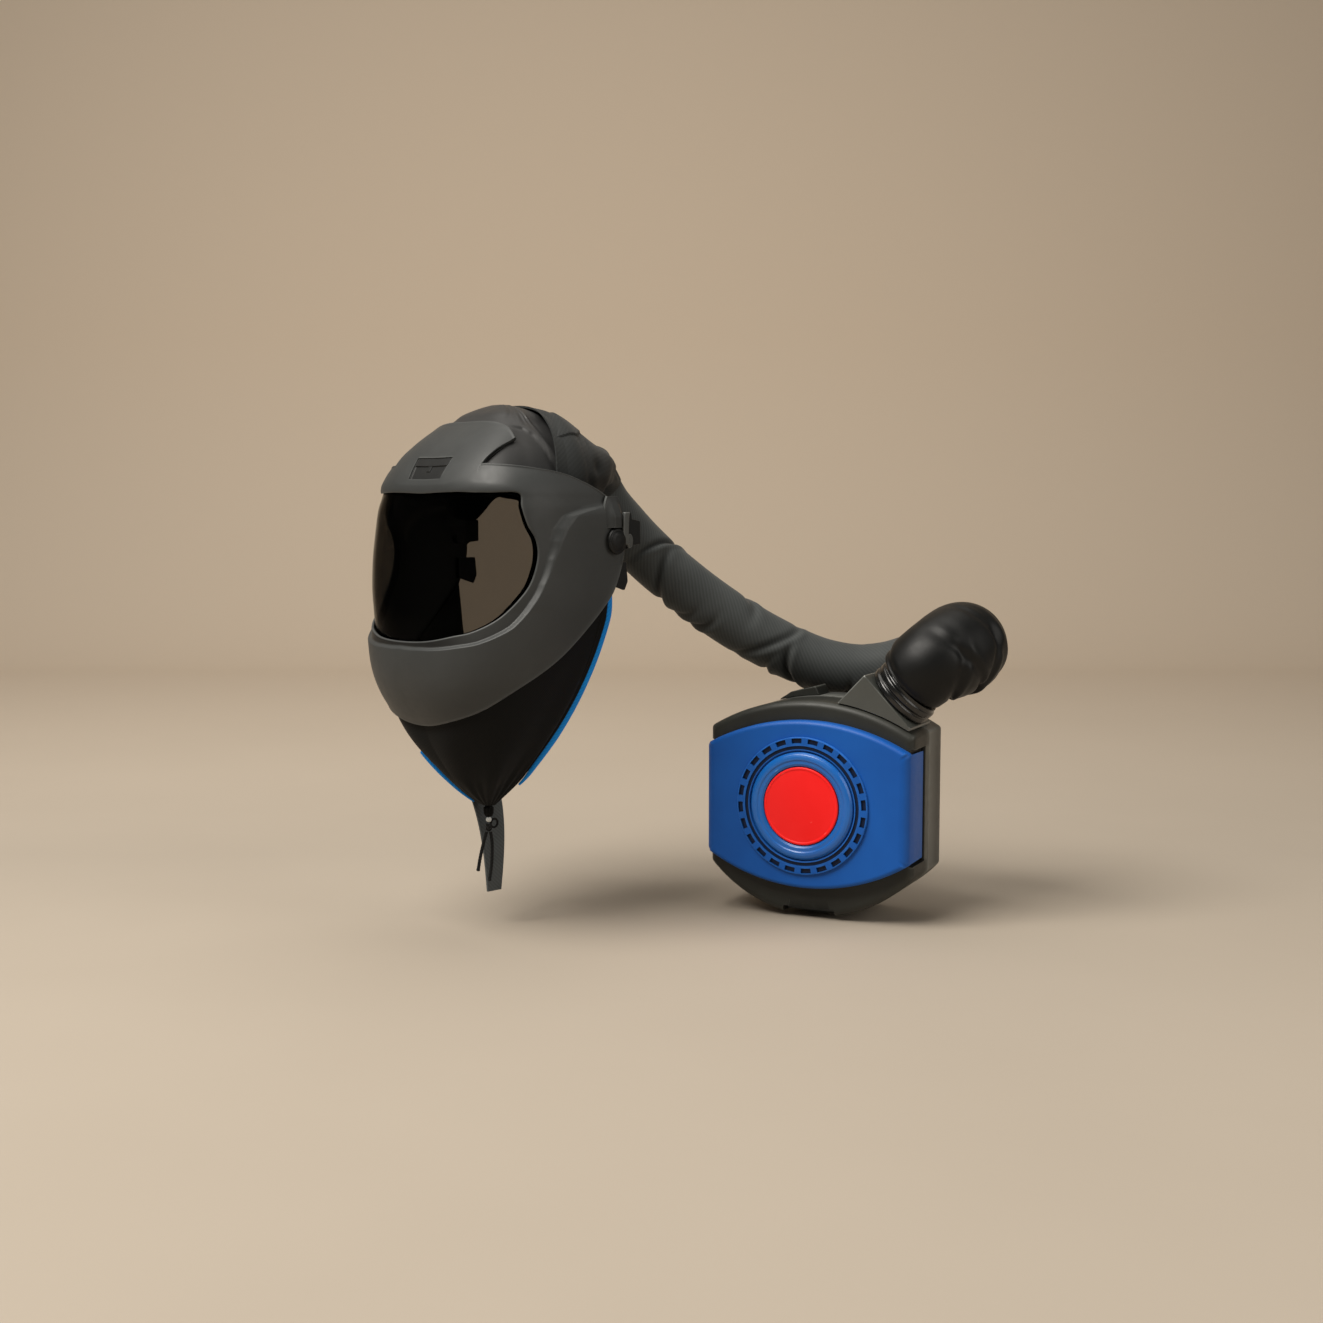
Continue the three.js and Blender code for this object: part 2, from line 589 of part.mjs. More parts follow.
// The tab on the rear edge of a cheek, close inside the shell.
function rearTab(face) {
  const { front, back, lower, upper, wall, cut: corner, step, depth, bevel } = REAR_TAB;
  const shape = new THREE.Shape();
  shape.moveTo(front, lower + step);
  shape.lineTo(back - corner, lower);
  shape.lineTo(back, lower + 2 * corner);
  shape.lineTo(back - corner / 2, upper);
  shape.lineTo(front, upper);
  const inside = face - SHELL_WALL - depth;
  return sidePlate(shape, inside - wall, inside, bevel);
}

// One temple: knob with its post, cup above it, and the latch behind. The right side is its mirror.
function temple(side) {
  const group = new THREE.Group();
  const face = pivotFace() + PIVOT.lift;
  const { y, z, half, tall, post, stand, root, bevel } = PIVOT;
  const inner = face - SHELL_WALL - PIVOT.tail;
  const outer = face + root;
  const knob = sidePlate(ellipse(y, z, half, tall), face, face + stand, bevel);
  const shaft = new THREE.CylinderGeometry(post, post, outer - inner, 16);
  shaft.rotateZ(Math.PI / 2).translate((outer + inner) / 2, y, z);
  const cupMiddle = z + tall + PIVOT_CUP.tall + GAP;
  const cupShape = ellipse(y - PIVOT_CUP.ahead, cupMiddle, PIVOT_CUP.half, PIVOT_CUP.tall);
  const cup = sidePlate(cupShape, face - PIVOT_CUP.sink, face + PIVOT_CUP.stand, PIVOT_CUP.bevel);
  group.add(named(`pivot_${side}`, join(knob, shaft), BLACK_PLASTIC));
  group.add(named(`pivot_cup_${side}`, cup, SHELL_PLASTIC));
  group.add(named(`latch_${side}`, latchPlate(face), BLACK_PLASTIC));
  group.add(named(`rear_tab_${side}`, rearTab(face), BLACK_PLASTIC));
  group.scale.x = side === 'left' ? 1 : -1;
  return group;
}

// One line of the cape, from the shell's inside down to the gather; place runs from -1 to 1.
function capeLine(place) {
  const last = STATIONS.length - 1;
  const at = station(lerp(last, CHEEK_STATION, Math.abs(place)));
  const share = 1 + CAPE.below / onForm(at.open).distanceTo(onForm(at.edge));
  const top = raised(between(at.open, at.edge, share), at.raise - CAPE.inset);
  if (place < 0) top.x *= -1;
  const turn = place * Math.PI * CAPE.wrap;
  const foot = CAPE_TIP.clone().add(vector([CAPE.ring * Math.sin(turn), -CAPE.ring * Math.cos(turn), 0]));
  const fall = foot.z - top.z;
  const leave = top.clone().lerp(foot, CAPE.leave).setZ(top.z + CAPE.drop * fall);
  const arrive = foot.clone().lerp(top, CAPE.gather).setZ(foot.z - CAPE.lift * fall);
  return new THREE.CubicBezierCurve3(top, leave, arrive, foot);
}

// The cape's outer face, with soft folds that run down to the gather.
function capeGrid(columns, rows) {
  return Array.from({ length: columns + 1 }, (_, i) => {
    const place = (2 * i) / columns - 1;
    const line = capeLine(place);
    return Array.from({ length: rows + 1 }, (__, j) => {
      const down = j / rows;
      const point = line.getPoint(down);
      const out = new THREE.Vector3(point.x, point.y - CAPE_TIP.y, 0);
      const room = Math.min(out.length() / CAPE_FOLDS.room, 1);
      const round = Math.sin(CAPE_FOLDS.count * Math.PI * Math.abs(place));
      const swell = round * Math.sin(Math.PI * down ** CAPE_FOLDS.low);
      return point.addScaledVector(out.normalize(), CAPE_FOLDS.depth * room * swell);
    });
  });
}

function capePieces() {
  const outer = capeGrid(CAPE_COLUMNS, CAPE_ROWS);
  const group = new THREE.Group();
  group.add(named('cape', wallBody(outer, offsetGrid(outer, CLOTH_WALL)), BLACK_CLOTH));
  const trim = PIPING_RADIUS + GAP + 0.2;
  const front = offsetGrid(outer, -trim)[PIPING_COLUMN].slice(CAPE_ROWS / 2, -1);
  group.add(named('cape_piping', bar(front, PIPING_RADIUS, 6, 14), BLUE_TAPE));
  const middle = offsetGrid(outer, CLOTH_WALL / 2);
  const edge = (from, reach) => middle[CAPE_COLUMNS].slice(from, -2).map((p, j) => {
    const away = p.clone().sub(middle[CAPE_COLUMNS - 1][j + from]).normalize();
    return p.clone().addScaledVector(away, reach);
  });
  const left = edge(1, trim + CLOTH_WALL);
  const right = edge(5, trim + CLOTH_WALL / 2).map(mirrored);
  group.add(named('cape_binding_left', bar(left, PIPING_RADIUS, 6, 14), BLUE_TAPE));
  group.add(named('cape_binding_right', bar(right, PIPING_RADIUS, 6, 12), BLUE_TAPE));
  return group;
}

// A turned piece on the line through the cape's tip, a given way below it.
function onTip(profile, segments, drop) {
  const turned = lathe(profile.slice().reverse(), segments).rotateX(Math.PI / 2);
  return turned.translate(0, CAPE_TIP.y, CAPE_TIP.z - drop);
}

function drawstring() {
  const group = new THREE.Group();
  group.add(named('cape_gather', onTip(GATHER_PROFILE, 14, 0), BLACK_CLOTH));
  group.add(named('cord_bead', onTip(BEAD_PROFILE, 12, BEAD_DROP), WHITE_PLASTIC));
  const knot = new THREE.SphereGeometry(KNOT.radius, 12, 8);
  knot.translate(0, CAPE_TIP.y, CAPE_TIP.z - KNOT.drop);
  const loop = new THREE.TorusGeometry(KNOT.loop, KNOT.loopCord, 6, 14).rotateY(Math.PI / 2);
  loop.translate(0, CAPE_TIP.y + KNOT.loop + KNOT.loopBack, CAPE_TIP.z - KNOT.drop + KNOT.loopUp);
  group.add(named('drawstring_knot', join(knot, loop), BLACK_CLOTH));
  for (const [name, route] of Object.entries(STRING_ENDS)) {
    group.add(named(name, bar(route.map(vector), STRING_RADIUS, 8, 6), BLACK_CLOTH));
  }
  return group;
}

// The webbing tail: a tapering strip that leans out from the cape's inside.
function pullTail() {
  const levels = Array.from({ length: 9 }, (_, n) => n / 8);
  const face = (x) => levels.map((down) => {
    const lean = (1 - down) ** 3;
    const z = lerp(TAIL.top, TAIL.bottom, down);
    const at = lerp(TAIL.bottomX, TAIL.topX, lean) + x;
    const front = lerp(TAIL_EDGES.topFront, TAIL_EDGES.bottomFront, down);
    const back = lerp(TAIL_EDGES.topBack, TAIL_EDGES.bottomBack, down);
    return [new THREE.Vector3(at, front, z), new THREE.Vector3(at, back, z)];
  });
  return named('pull_tail', wallBody(face(TAIL.wall / 2), face(-TAIL.wall / 2)), GREY_WEBBING);
}

function hose() {
  return named('hose', bar(HOSE_ROUTE.map(vector), HOSE_RADIUS, HOSE_SIDES, HOSE_STEPS), HOSE_CLOTH);
}

// An upright outline with straight sides and a bowed top and base.
function bowedOutline({ half, upper, lower, crown, base }) {
  const topRadius = (half ** 2 + (crown - upper) ** 2) / (2 * (crown - upper));
  const baseRadius = (half ** 2 + (lower - base) ** 2) / (2 * (lower - base));
  const topAngle = Math.acos(half / topRadius);
  const baseAngle = Math.acos(half / baseRadius);
  const shape = new THREE.Shape();
  shape.moveTo(half, lower);
  shape.lineTo(half, upper);
  shape.absarc(0, crown - topRadius, topRadius, topAngle, Math.PI - topAngle, false);
  shape.lineTo(-half, lower);
  shape.absarc(0, base + baseRadius, baseRadius, Math.PI + baseAngle, 2 * Math.PI - baseAngle, false);
  return shape;
}

// Height of the housing's bowed top at a place across it.
function housingTop(x) {
  const rise = HOUSING.crown - HOUSING.upper;
  const radius = (HOUSING.half ** 2 + rise ** 2) / (2 * rise);
  return HOUSING.crown - radius + Math.sqrt(radius ** 2 - x ** 2);
}

function housing() {
  const group = new THREE.Group();
  const outline = bowedOutline(HOUSING);
  const { half, front, part, back, base } = HOUSING;
  const recess = [-1, 1].map((side) => {
    const x = side > 0 ? [half - TAB_RECESS.depth, half + 9] : [-half - 9, TAB_RECESS.depth - half];
    return block([x[0], front - 9, TAB_RECESS.lower], [x[1], TAB_RECESS.back, TAB_RECESS.upper]);
  });
  const notch = block(
    [-NOTCH.half, front - 9, base - 9],
    [NOTCH.half, front + NOTCH.depth, base + NOTCH.height],
  );
  const frontHalf = cut(slab(outline, front, part, HOUSING_BEVEL), ...recess, notch);
  group.add(named('housing_front', frontHalf, HOUSING_PLASTIC));
  const { width, height, z, stand } = BELT_PAD;
  const pad = block([-width / 2, back - 1, z - height / 2], [width / 2, back + stand, z + height / 2]);
  const backHalf = join(slab(outline, part + GAP, back, HOUSING_BEVEL), pad);
  group.add(named('housing_back', backHalf, BACK_PLASTIC));
  const strip = block(
    [GAP - NOTCH.half, front + NOTCH.depth / 2, base + NOTCH.height / 2],
    [NOTCH.half - GAP, front + NOTCH.depth - GAP, base + NOTCH.height - GAP],
  );
  group.add(named('base_strip', strip, GREY_WEBBING));
  const guide = new THREE.Shape();
  guide.moveTo(GUIDE.left, housingTop(GUIDE.left) + GAP);
  guide.lineTo(GUIDE.left + 12, housingTop(GUIDE.left) + GUIDE.height);
  guide.lineTo(GUIDE.right - 4, housingTop(GUIDE.right) + GUIDE.height);
  guide.lineTo(GUIDE.right, housingTop(GUIDE.right) + GAP);
  guide.lineTo((GUIDE.left + GUIDE.right) / 2, housingTop((GUIDE.left + GUIDE.right) / 2) + 2 * GAP);
  group.add(named('top_guide', slab(guide, GUIDE.front, GUIDE.back, 0.8), HOUSING_PLASTIC));
  return group;
}

// The cover: a bowed front plate with a tab that wraps each side of the housing.
function filterCover() {
  const { half, front, back } = COVER;
  const plate = slab(bowedOutline(COVER), front, back, COVER_BEVEL);
  const tabs = [-1, 1].map((side) => {
    const x = side > 0 ? [half - TAB.wall, half] : [-half, TAB.wall - half];
    return block([x[0], front + COVER_BEVEL, TAB.lower], [x[1], TAB.back, TAB.upper]);
  });
  return named('filter_cover', join(plate, ...tabs), BLUE_PLASTIC);
}

// The intake ring: a flat ring with slots right round it.
function intakeRing() {
  const ring = new THREE.Shape().absarc(RING.x, 0, RING.outer, 0, 2 * Math.PI);
  ring.holes.push(new THREE.Path().absarc(RING.x, 0, RING.inner, 0, 2 * Math.PI, true));
  const pitch = (2 * Math.PI) / RING.slots;
  for (let n = 0; n < RING.slots; n += 1) {
    const slot = new THREE.Path();
    const start = n * pitch;
    const end = start + pitch * RING.open;
    slot.moveTo(RING.x + RING.slotInner * Math.cos(start), RING.slotInner * Math.sin(start));
    slot.lineTo(RING.x + RING.slotOuter * Math.cos(start), RING.slotOuter * Math.sin(start));
    slot.lineTo(RING.x + RING.slotOuter * Math.cos(end), RING.slotOuter * Math.sin(end));
    slot.lineTo(RING.x + RING.slotInner * Math.cos(end), RING.slotInner * Math.sin(end));
    ring.holes.push(slot);
  }
  const back = COVER.front - GAP;
  const geometry = new THREE.ExtrudeGeometry(ring, {
    depth: RING.stand,
    bevelEnabled: false,
    curveSegments: 24,
  });
  return named('intake_ring', geometry.rotateX(Math.PI / 2).translate(0, back, 0), BLUE_PLASTIC);
}

// A turned piece that stands on the cover's front.
function onCover(name, profile, material) {
  const mesh = named(name, lathe(profile, 40), material);
  mesh.position.set(RING.x, COVER.front - GAP, 0);
  mesh.rotation.x = Math.PI;
  return mesh;
}

// The outlet: a three-cornered duct on the housing's shoulder, its collar, and the elbow's boot.
function outlet() {
  const group = new THREE.Group();
  const [crestX, crestZ] = DUCT.crest;
  const [mouthX, mouthZ] = DUCT.mouth;
  const shape = new THREE.Shape();
  shape.moveTo(crestX, crestZ);
  shape.lineTo(DUCT.left, housingTop(DUCT.left) + GAP);
  for (const share of [0.25, 0.5, 0.75, 1]) {
    const x = lerp(DUCT.left, DUCT.right, share);
    shape.lineTo(x, housingTop(x) + GAP + 0.3);
  }
  shape.lineTo(mouthX, mouthZ);
  group.add(named('outlet_duct', slab(shape, DUCT.front, DUCT.back, 2), BACK_PLASTIC));
  const along = new THREE.Vector3(crestZ - mouthZ, 0, mouthX - crestX).normalize();
  const crest = new THREE.Vector3(crestX, DUCT.front, crestZ);
  const mouth = new THREE.Vector3(mouthX, DUCT.back, mouthZ);
  const middle = crest.add(mouth).multiplyScalar(0.5);
  const coupling = named('hose_coupling', lathe(COUPLING_PROFILE, 24), RUBBER);
  coupling.quaternion.setFromUnitVectors(new THREE.Vector3(0, 1, 0), along);
  coupling.position.copy(middle).addScaledVector(along, GAP);
  group.add(coupling);
  group.add(named('elbow_boot', elbowBoot(), RUBBER));
  return group;
}

// A bulging tube along the elbow's bend.
function elbowBoot() {
  const rows = ELBOW_ROWS.map((row, n) => ({ ...row, n }));
  const last = rows.length - 1;
  const at = (n) => vector(['x', 'y', 'z'].map((axis) => through(rows, 'n', axis, n)));
  const side = new THREE.Vector3(0, 0, 1);
  const rings = Array.from({ length: ELBOW_RINGS + 1 }, (_, k) => {
    const n = (k / ELBOW_RINGS) * last;
    const along = at(Math.min(n + 0.05, last)).sub(at(Math.max(n - 0.05, 0))).normalize();
    const across = along.clone().cross(side).normalize();
    const up = across.clone().cross(along);
    const radius = through(rows, 'n', 'radius', n);
    return Array.from({ length: ELBOW_SIDES }, (__, m) => {
      const angle = (2 * Math.PI * m) / ELBOW_SIDES;
      const spoke = across.clone().multiplyScalar(Math.cos(angle)).addScaledVector(up, Math.sin(angle));
      return at(n).addScaledVector(spoke, radius);
    });
  });
  return ringBody(rings, at(0), at(last));
}

function blower() {
  const group = new THREE.Group();
  group.add(housing(), filterCover(), intakeRing(), outlet());
  group.add(onCover('hub_ring', HUB_PROFILE, BLUE_PLASTIC));
  group.add(onCover('hub_disc', DISC_PROFILE, RED_PLASTIC));
  group.position.set(BLOWER.x, BLOWER.y, BLOWER.z);
  group.rotation.z = radians(BLOWER.turn);
  return group;
}

const respirator = new THREE.Group();
respirator.add(helmetShell(), browSocket(), visorLens(), visorSeal(), crownDome(), crownHood());
respirator.add(temple('left'), temple('right'));
respirator.add(capePieces(), drawstring(), pullTail(), hose(), blower());

export default respirator;
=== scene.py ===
# %% [markdown]
# # A powered air-purifying respirator
# A grey helmet with a smoke-tinted visor, a black cloth cape drawn together by a cord, a
# cloth-covered breathing hose and a belt blower under a blue cover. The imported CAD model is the
# frame: each piece below is worked out in millimetres in the CAD's own axes (+Z up, the helmet
# faces -Y), so it lands on the node that it stands for with no fitting.

# %% Load the frame
import bpy
import numpy as np
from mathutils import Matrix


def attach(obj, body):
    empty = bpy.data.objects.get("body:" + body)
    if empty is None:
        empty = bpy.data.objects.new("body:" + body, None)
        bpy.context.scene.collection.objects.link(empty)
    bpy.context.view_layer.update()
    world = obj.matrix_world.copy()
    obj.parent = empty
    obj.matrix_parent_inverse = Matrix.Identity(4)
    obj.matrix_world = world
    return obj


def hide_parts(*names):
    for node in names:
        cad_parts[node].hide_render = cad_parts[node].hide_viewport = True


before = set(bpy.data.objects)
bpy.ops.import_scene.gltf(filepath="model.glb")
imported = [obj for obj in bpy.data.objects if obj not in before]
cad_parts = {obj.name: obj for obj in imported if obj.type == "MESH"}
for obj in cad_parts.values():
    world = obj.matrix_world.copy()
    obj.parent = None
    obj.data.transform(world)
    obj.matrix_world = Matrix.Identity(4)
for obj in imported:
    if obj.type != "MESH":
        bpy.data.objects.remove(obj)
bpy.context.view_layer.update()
MM = 0.001

# %% [markdown]
# ## Camera
# The photograph was taken a little above the visor and in front of the wearer's left cheek. The
# focal length is known in pixels of the 1323-pixel picture, so the lens follows from the sensor's
# width. It comes first because everything later is judged through it.

# %% Camera
IMAGE_SIDE = 1323
FOCAL_PIXELS = 1737
SENSOR_WIDTH = 36.0
CAMERA_PLACE = (1.265, -1.0734, 0.0194)
CAMERA_TURN = np.radians((85.0, 0.0, 45.5))

lens = bpy.data.cameras.new("photo_camera")
lens.sensor_width = SENSOR_WIDTH
lens.lens = SENSOR_WIDTH * FOCAL_PIXELS / IMAGE_SIDE
camera = bpy.data.objects.new("photo_camera", lens)
camera.location = CAMERA_PLACE
camera.rotation_euler = CAMERA_TURN
bpy.context.scene.collection.objects.link(camera)
bpy.context.scene.camera = camera
print(f"camera: {lens.lens:.1f} mm lens")

# %% [markdown]
# ## From grids to meshes
# A grid of points has rows and columns, and each cell between four neighbours is a face. A tube
# joins its last column to its first, a loop of profiles joins its last row too, and a fan of
# triangles to a middle point closes an open end. Letting numpy number the corners keeps Python
# out of the vertices, and one signed volume tells which way the faces point.

# %% Mesh helpers
def cells(rows, columns, round_rows=False, round_columns=False):
    """Corner numbers of a grid's cells: (i, j), (i+1, j), (i+1, j+1), (i, j+1)."""
    i, j = np.meshgrid(np.arange(rows - (not round_rows)),
                       np.arange(columns - (not round_columns)), indexing="ij")
    corners = [(i, j), (i + 1, j), (i + 1, j + 1), (i, j + 1)]
    return np.stack([a % rows * columns + b % columns for a, b in corners], -1).reshape(-1, 4)


def skin(grid, uv=None, round_rows=False, round_columns=True, poles=True):
    """A closed skin over a grid: its cells, and where asked a fan from each end row to its mean."""
    rows, columns = grid.shape[:2]
    points = grid.reshape(-1, 3)
    if uv is None:
        uv = np.zeros((rows + round_rows, columns + round_columns, 2))
    faces = [cells(rows, columns, round_rows, round_columns)]
    corners = [uv.reshape(-1, 2)[cells(*uv.shape[:2])]]
    if poles:
        ring = np.arange(columns)
        after = np.roll(ring, -1)
        last = (rows - 1) * columns
        pole = np.full(columns, len(points))
        points = np.vstack([points, grid[0].mean(0), grid[-1].mean(0)])
        faces.append(np.column_stack([pole, ring, after]))
        faces.append(np.column_stack([pole + 1, last + after, last + ring]))
        middle = (uv[:, :-1] + uv[:, 1:]) / 2
        corners.append(np.stack([middle[0], uv[0, :-1], uv[0, 1:]], 1))
        corners.append(np.stack([middle[-1], uv[-1, 1:], uv[-1, :-1]], 1))
    return points, faces, corners


def sheet_skin(outer, inner, uv):
    """A sheet with two faces: each row runs out on one grid and back on the other, and a strip
    closes the first and the last row."""
    columns = outer.shape[1]
    both = np.concatenate([uv, uv[:, ::-1], uv[:, :1]], axis=1)
    points, faces, corners = skin(np.concatenate([outer, inner[:, ::-1]], axis=1), both, poles=False)
    j = np.arange(columns - 1)
    strip = np.column_stack([j, j + 1, 2 * columns - 2 - j, 2 * columns - 1 - j])
    ends = [strip, (len(outer) - 1) * 2 * columns + strip[:, ::-1]]
    flat = both[:, :-1].reshape(-1, 2)
    return points, faces + ends, corners + [flat[end] for end in ends]


print("cells of a 3 x 3 grid:", len(cells(3, 3)))


# %% From meshes to pieces
def outward(points, faces):
    """1 where a closed skin's faces point out, -1 where in: the sign of the sum of a.(b x c)."""
    volume = 0.0
    for face in faces:
        fan = points[face]
        for k in range(1, face.shape[1] - 1):
            volume += np.sum(fan[:, 0] * np.cross(fan[:, k], fan[:, k + 1]))
    return 1 if volume > 0 else -1


def piece(name, finish, skins, stands_for, sharp=40, shade=None):
    """One object from closed skins in millimetres, smooth except across edges sharper than the
    given degrees. It rides on the CAD body and stands for the named CAD nodes."""
    points, loops, sizes, uvs, count = [], [], [], [], 0
    for skin_points, faces, corners in skins:
        turn = outward(skin_points, faces)
        loops += [(face[:, ::turn] + count).ravel() for face in faces]
        sizes += [np.full(len(face), face.shape[1]) for face in faces]
        uvs += [corner[:, ::turn].reshape(-1, 2) for corner in corners]
        points.append(skin_points)
        count += len(skin_points)
    sizes = np.concatenate(sizes)
    mesh = bpy.data.meshes.new(name)
    mesh.vertices.add(count)
    mesh.vertices.foreach_set("co", np.concatenate(points).ravel() * MM)
    mesh.loops.add(int(sizes.sum()))
    mesh.loops.foreach_set("vertex_index", np.concatenate(loops).astype(np.int32))
    mesh.polygons.add(len(sizes))
    mesh.polygons.foreach_set("loop_start", np.r_[0, np.cumsum(sizes)[:-1]].astype(np.int32))
    mesh.polygons.foreach_set("use_smooth", np.ones(len(sizes), bool))
    mesh.uv_layers.new(name="UVMap").data.foreach_set("uv", np.concatenate(uvs).ravel() * MM)
    if shade is not None:
        depth = np.zeros(count)
        depth[:shade.size] = shade.ravel()
        mesh.attributes.new("shade", "FLOAT", "POINT").data.foreach_set("value", depth)
    mesh.update(calc_edges=True)
    mesh.set_sharp_from_angle(angle=np.radians(sharp))
    mesh.materials.append(finish)
    obj = bpy.data.objects.new(name, mesh)
    bpy.context.scene.collection.objects.link(obj)
    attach(obj, "root")
    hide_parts(*stands_for)
    print(f"{name}: {count} points, {len(sizes)} faces")
    return obj


print("CAD nodes to replace:", len(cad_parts))

# %% [markdown]
# ## Lines, tubes and turned pieces
# Most of the object is one of three families. A tube is a ring carried along a path; a turned
# piece is a profile carried round an axis; a moulding is an outline carried through a profile of
# steps, which is how a bevelled housing, a knob or a plate looks in section.

# %% Lines
def ramp(value, low, high):
    """0 below low, 1 above high, and 3t^2 - 2t^3 between them."""
    t = np.clip((value - low) / (high - low), 0, 1)
    return t * t * (3 - 2 * t)


def unit(vectors):
    """Vectors scaled to length one."""
    return vectors / np.linalg.norm(vectors, axis=-1, keepdims=True)


def mirrored(skin_parts):
    """The same skin on the other side of the plane x = 0."""
    points, faces, corners = skin_parts
    return points * (-1, 1, 1), faces, corners


def cubic(table, at):
    """Rows of a table at real-numbered row numbers: cubic pieces with central slopes."""
    table = np.asarray(table, float)
    slopes = np.gradient(table, axis=0)
    i = np.clip(np.floor(at).astype(int), 0, len(table) - 2)
    t = (at - i)[:, None]
    rise = 3 * t ** 2 - 2 * t ** 3
    lean = (t ** 3 - 2 * t ** 2 + t) * slopes[i] + (t ** 3 - t ** 2) * slopes[i + 1]
    return table[i] * (1 - rise) + table[i + 1] * rise + lean


def evenly(line, count):
    """The same line with its points the same distance apart."""
    run = np.r_[0, np.cumsum(np.linalg.norm(np.diff(line, axis=0), axis=1))]
    at = np.linspace(0, run[-1], count)
    return np.column_stack([np.interp(at, run, column) for column in line.T])


def soften(corners, radius, step, closed=True):
    """A line through corners with points every step, each then averaged with its neighbours
    within the radius, so that the corners come out round."""
    corners = np.asarray(corners, float)
    line = np.vstack([corners, corners[:1]]) if closed else corners
    length = np.linalg.norm(np.diff(line, axis=0), axis=1).sum()
    even = evenly(line, int(length / step) + 1)[:-1 if closed else None]
    reach = max(int(radius / step), 1)
    weight = np.cos(np.linspace(-np.pi / 2, np.pi / 2, 2 * reach + 3))[1:-1]
    ends = {"mode": "wrap"} if closed else {"mode": "reflect", "reflect_type": "odd"}
    spread = np.pad(even, ((reach, reach), (0, 0)), **ends)
    return np.column_stack([np.convolve(c, weight / weight.sum(), "valid") for c in spread.T])


print("halfway up a ramp:", ramp(0.5, 0, 1))


# %% Tubes and turned pieces
def tube(path, radius, hint, sides):
    """Rings round a path: centre + radius (across cos a + up sin a), with across at right angles
    to the hint. The uv runs round the ring and along the path, in millimetres."""
    along = unit(np.gradient(path, axis=0))
    across = unit(np.cross(along, hint))
    up = np.cross(across, along)
    angle = 2 * np.pi * np.arange(sides + 1) / sides
    radius = np.broadcast_to(radius, (len(path), sides))[..., None]
    ring = across[:, None] * np.cos(angle[:-1, None]) + up[:, None] * np.sin(angle[:-1, None])
    run = np.r_[0, np.cumsum(np.linalg.norm(np.diff(path, axis=0), axis=1))]
    uv = np.stack(np.broadcast_arrays(angle * radius.mean(), run[:, None]), -1)
    return skin(path[:, None] + radius * ring, uv)


def closed_tube(path, radius, hint, sides):
    """Rings round a closed path, with the last ring joined to the first."""
    along = unit(np.roll(path, -1, 0) - np.roll(path, 1, 0))
    across = unit(np.cross(along, hint))
    up = np.cross(across, along)
    a = 2 * np.pi * np.arange(sides)[:, None] / sides
    rings = path[:, None] + radius * (across[:, None] * np.cos(a) + up[:, None] * np.sin(a))
    gap = np.linalg.norm(path[1] - path[0])
    uv = np.meshgrid(np.arange(sides + 1) * 2 * np.pi * radius / sides,
                     np.arange(len(path) + 1) * gap)
    return skin(rings, np.stack(uv, -1), round_rows=True, poles=False)


OFF_AXIS = (0.31, 0.87, 0.38)


def turned(profile, origin, axis, sides=96, swell=None, closed=False):
    """A profile of (radius, height) carried round an axis: origin + height axis + radius spoke.
    The swell scales the radius at each profile point and angle. The first spoke is at right
    angles to the axis and to a direction that no axis here has."""
    axis = unit(np.asarray(axis, float))
    first = unit(np.cross(axis, OFF_AXIS))
    second = np.cross(axis, first)
    angle = 2 * np.pi * np.arange(sides) / sides
    spoke = first * np.cos(angle)[:, None] + second * np.sin(angle)[:, None]
    radius = profile[:, :1] * (np.ones(sides) if swell is None else swell(profile[:, 1:], angle))
    grid = origin + axis * profile[:, 1, None, None] + radius[..., None] * spoke
    return skin(grid, round_rows=closed, poles=not closed)


print("tubes: rings along a path; turned pieces: a profile round an axis")

# %% Mouldings
EDGE_HOLD = 0.6
FACE_SHARES = np.array([0.25, 0.5, 0.75, 0.9])


def moulding(outline, inset, depth, crown=0.0):
    """An outline in (x, z) carried through steps of inset and depth y: each ring is the outline
    drawn in to its middle by the inset on both axes. One more ring just inside each end keeps flat
    faces flat. Rings that shrink to the middle close the front, which bulges by the crown as
    1 - s^2, and the back."""
    low, high = outline.min(0), outline.max(0)
    middle, half = (low + high) / 2, (high - low) / 2
    inset = np.stack([np.broadcast_to(value, len(outline)) for value in inset])
    depth = np.stack([np.broadcast_to(value, len(outline)) for value in depth])
    inset = np.concatenate([inset[:1] + EDGE_HOLD, inset, inset[-1:] + EDGE_HOLD])
    depth = np.concatenate([depth[:1], depth, depth[-1:]])
    rings = middle + (outline - middle) * (1 - inset[..., None] / half)
    shrink = FACE_SHARES[:, None, None]
    front = middle + (rings[0] - middle) * shrink
    back = middle + (rings[-1] - middle) * shrink[::-1]
    bulge = crown * (1 - shrink[..., 0] ** 2)
    flat = np.concatenate([front, rings, back])
    y = np.concatenate([depth[0] - bulge, depth, np.broadcast_to(depth[-1], back.shape[:2])])
    return np.stack([flat[..., 0], y, flat[..., 1]], -1)


def bevelled(front, back, radius, steps=5):
    """Insets and depths of a plate whose front and back edges are quarter rounds."""
    turn = np.linspace(0, np.pi / 2, steps)
    inset = radius * (1 - np.sin(turn))
    ease = radius * (1 - np.cos(turn))
    return np.r_[inset, inset[::-1]], np.r_[front + ease, back - ease[::-1]]


print("insets of a 1 mm bevel:", bevelled(0, 5, 1)[0].round(2).tolist())

# %% [markdown]
# ## Finishes
# A finish is named for the real material. Colours are written as sRGB hex values and turned to
# linear light once. One function adds any shader node: its settings are properties, and its
# inputs are either plain values or another node's output, which makes a link.

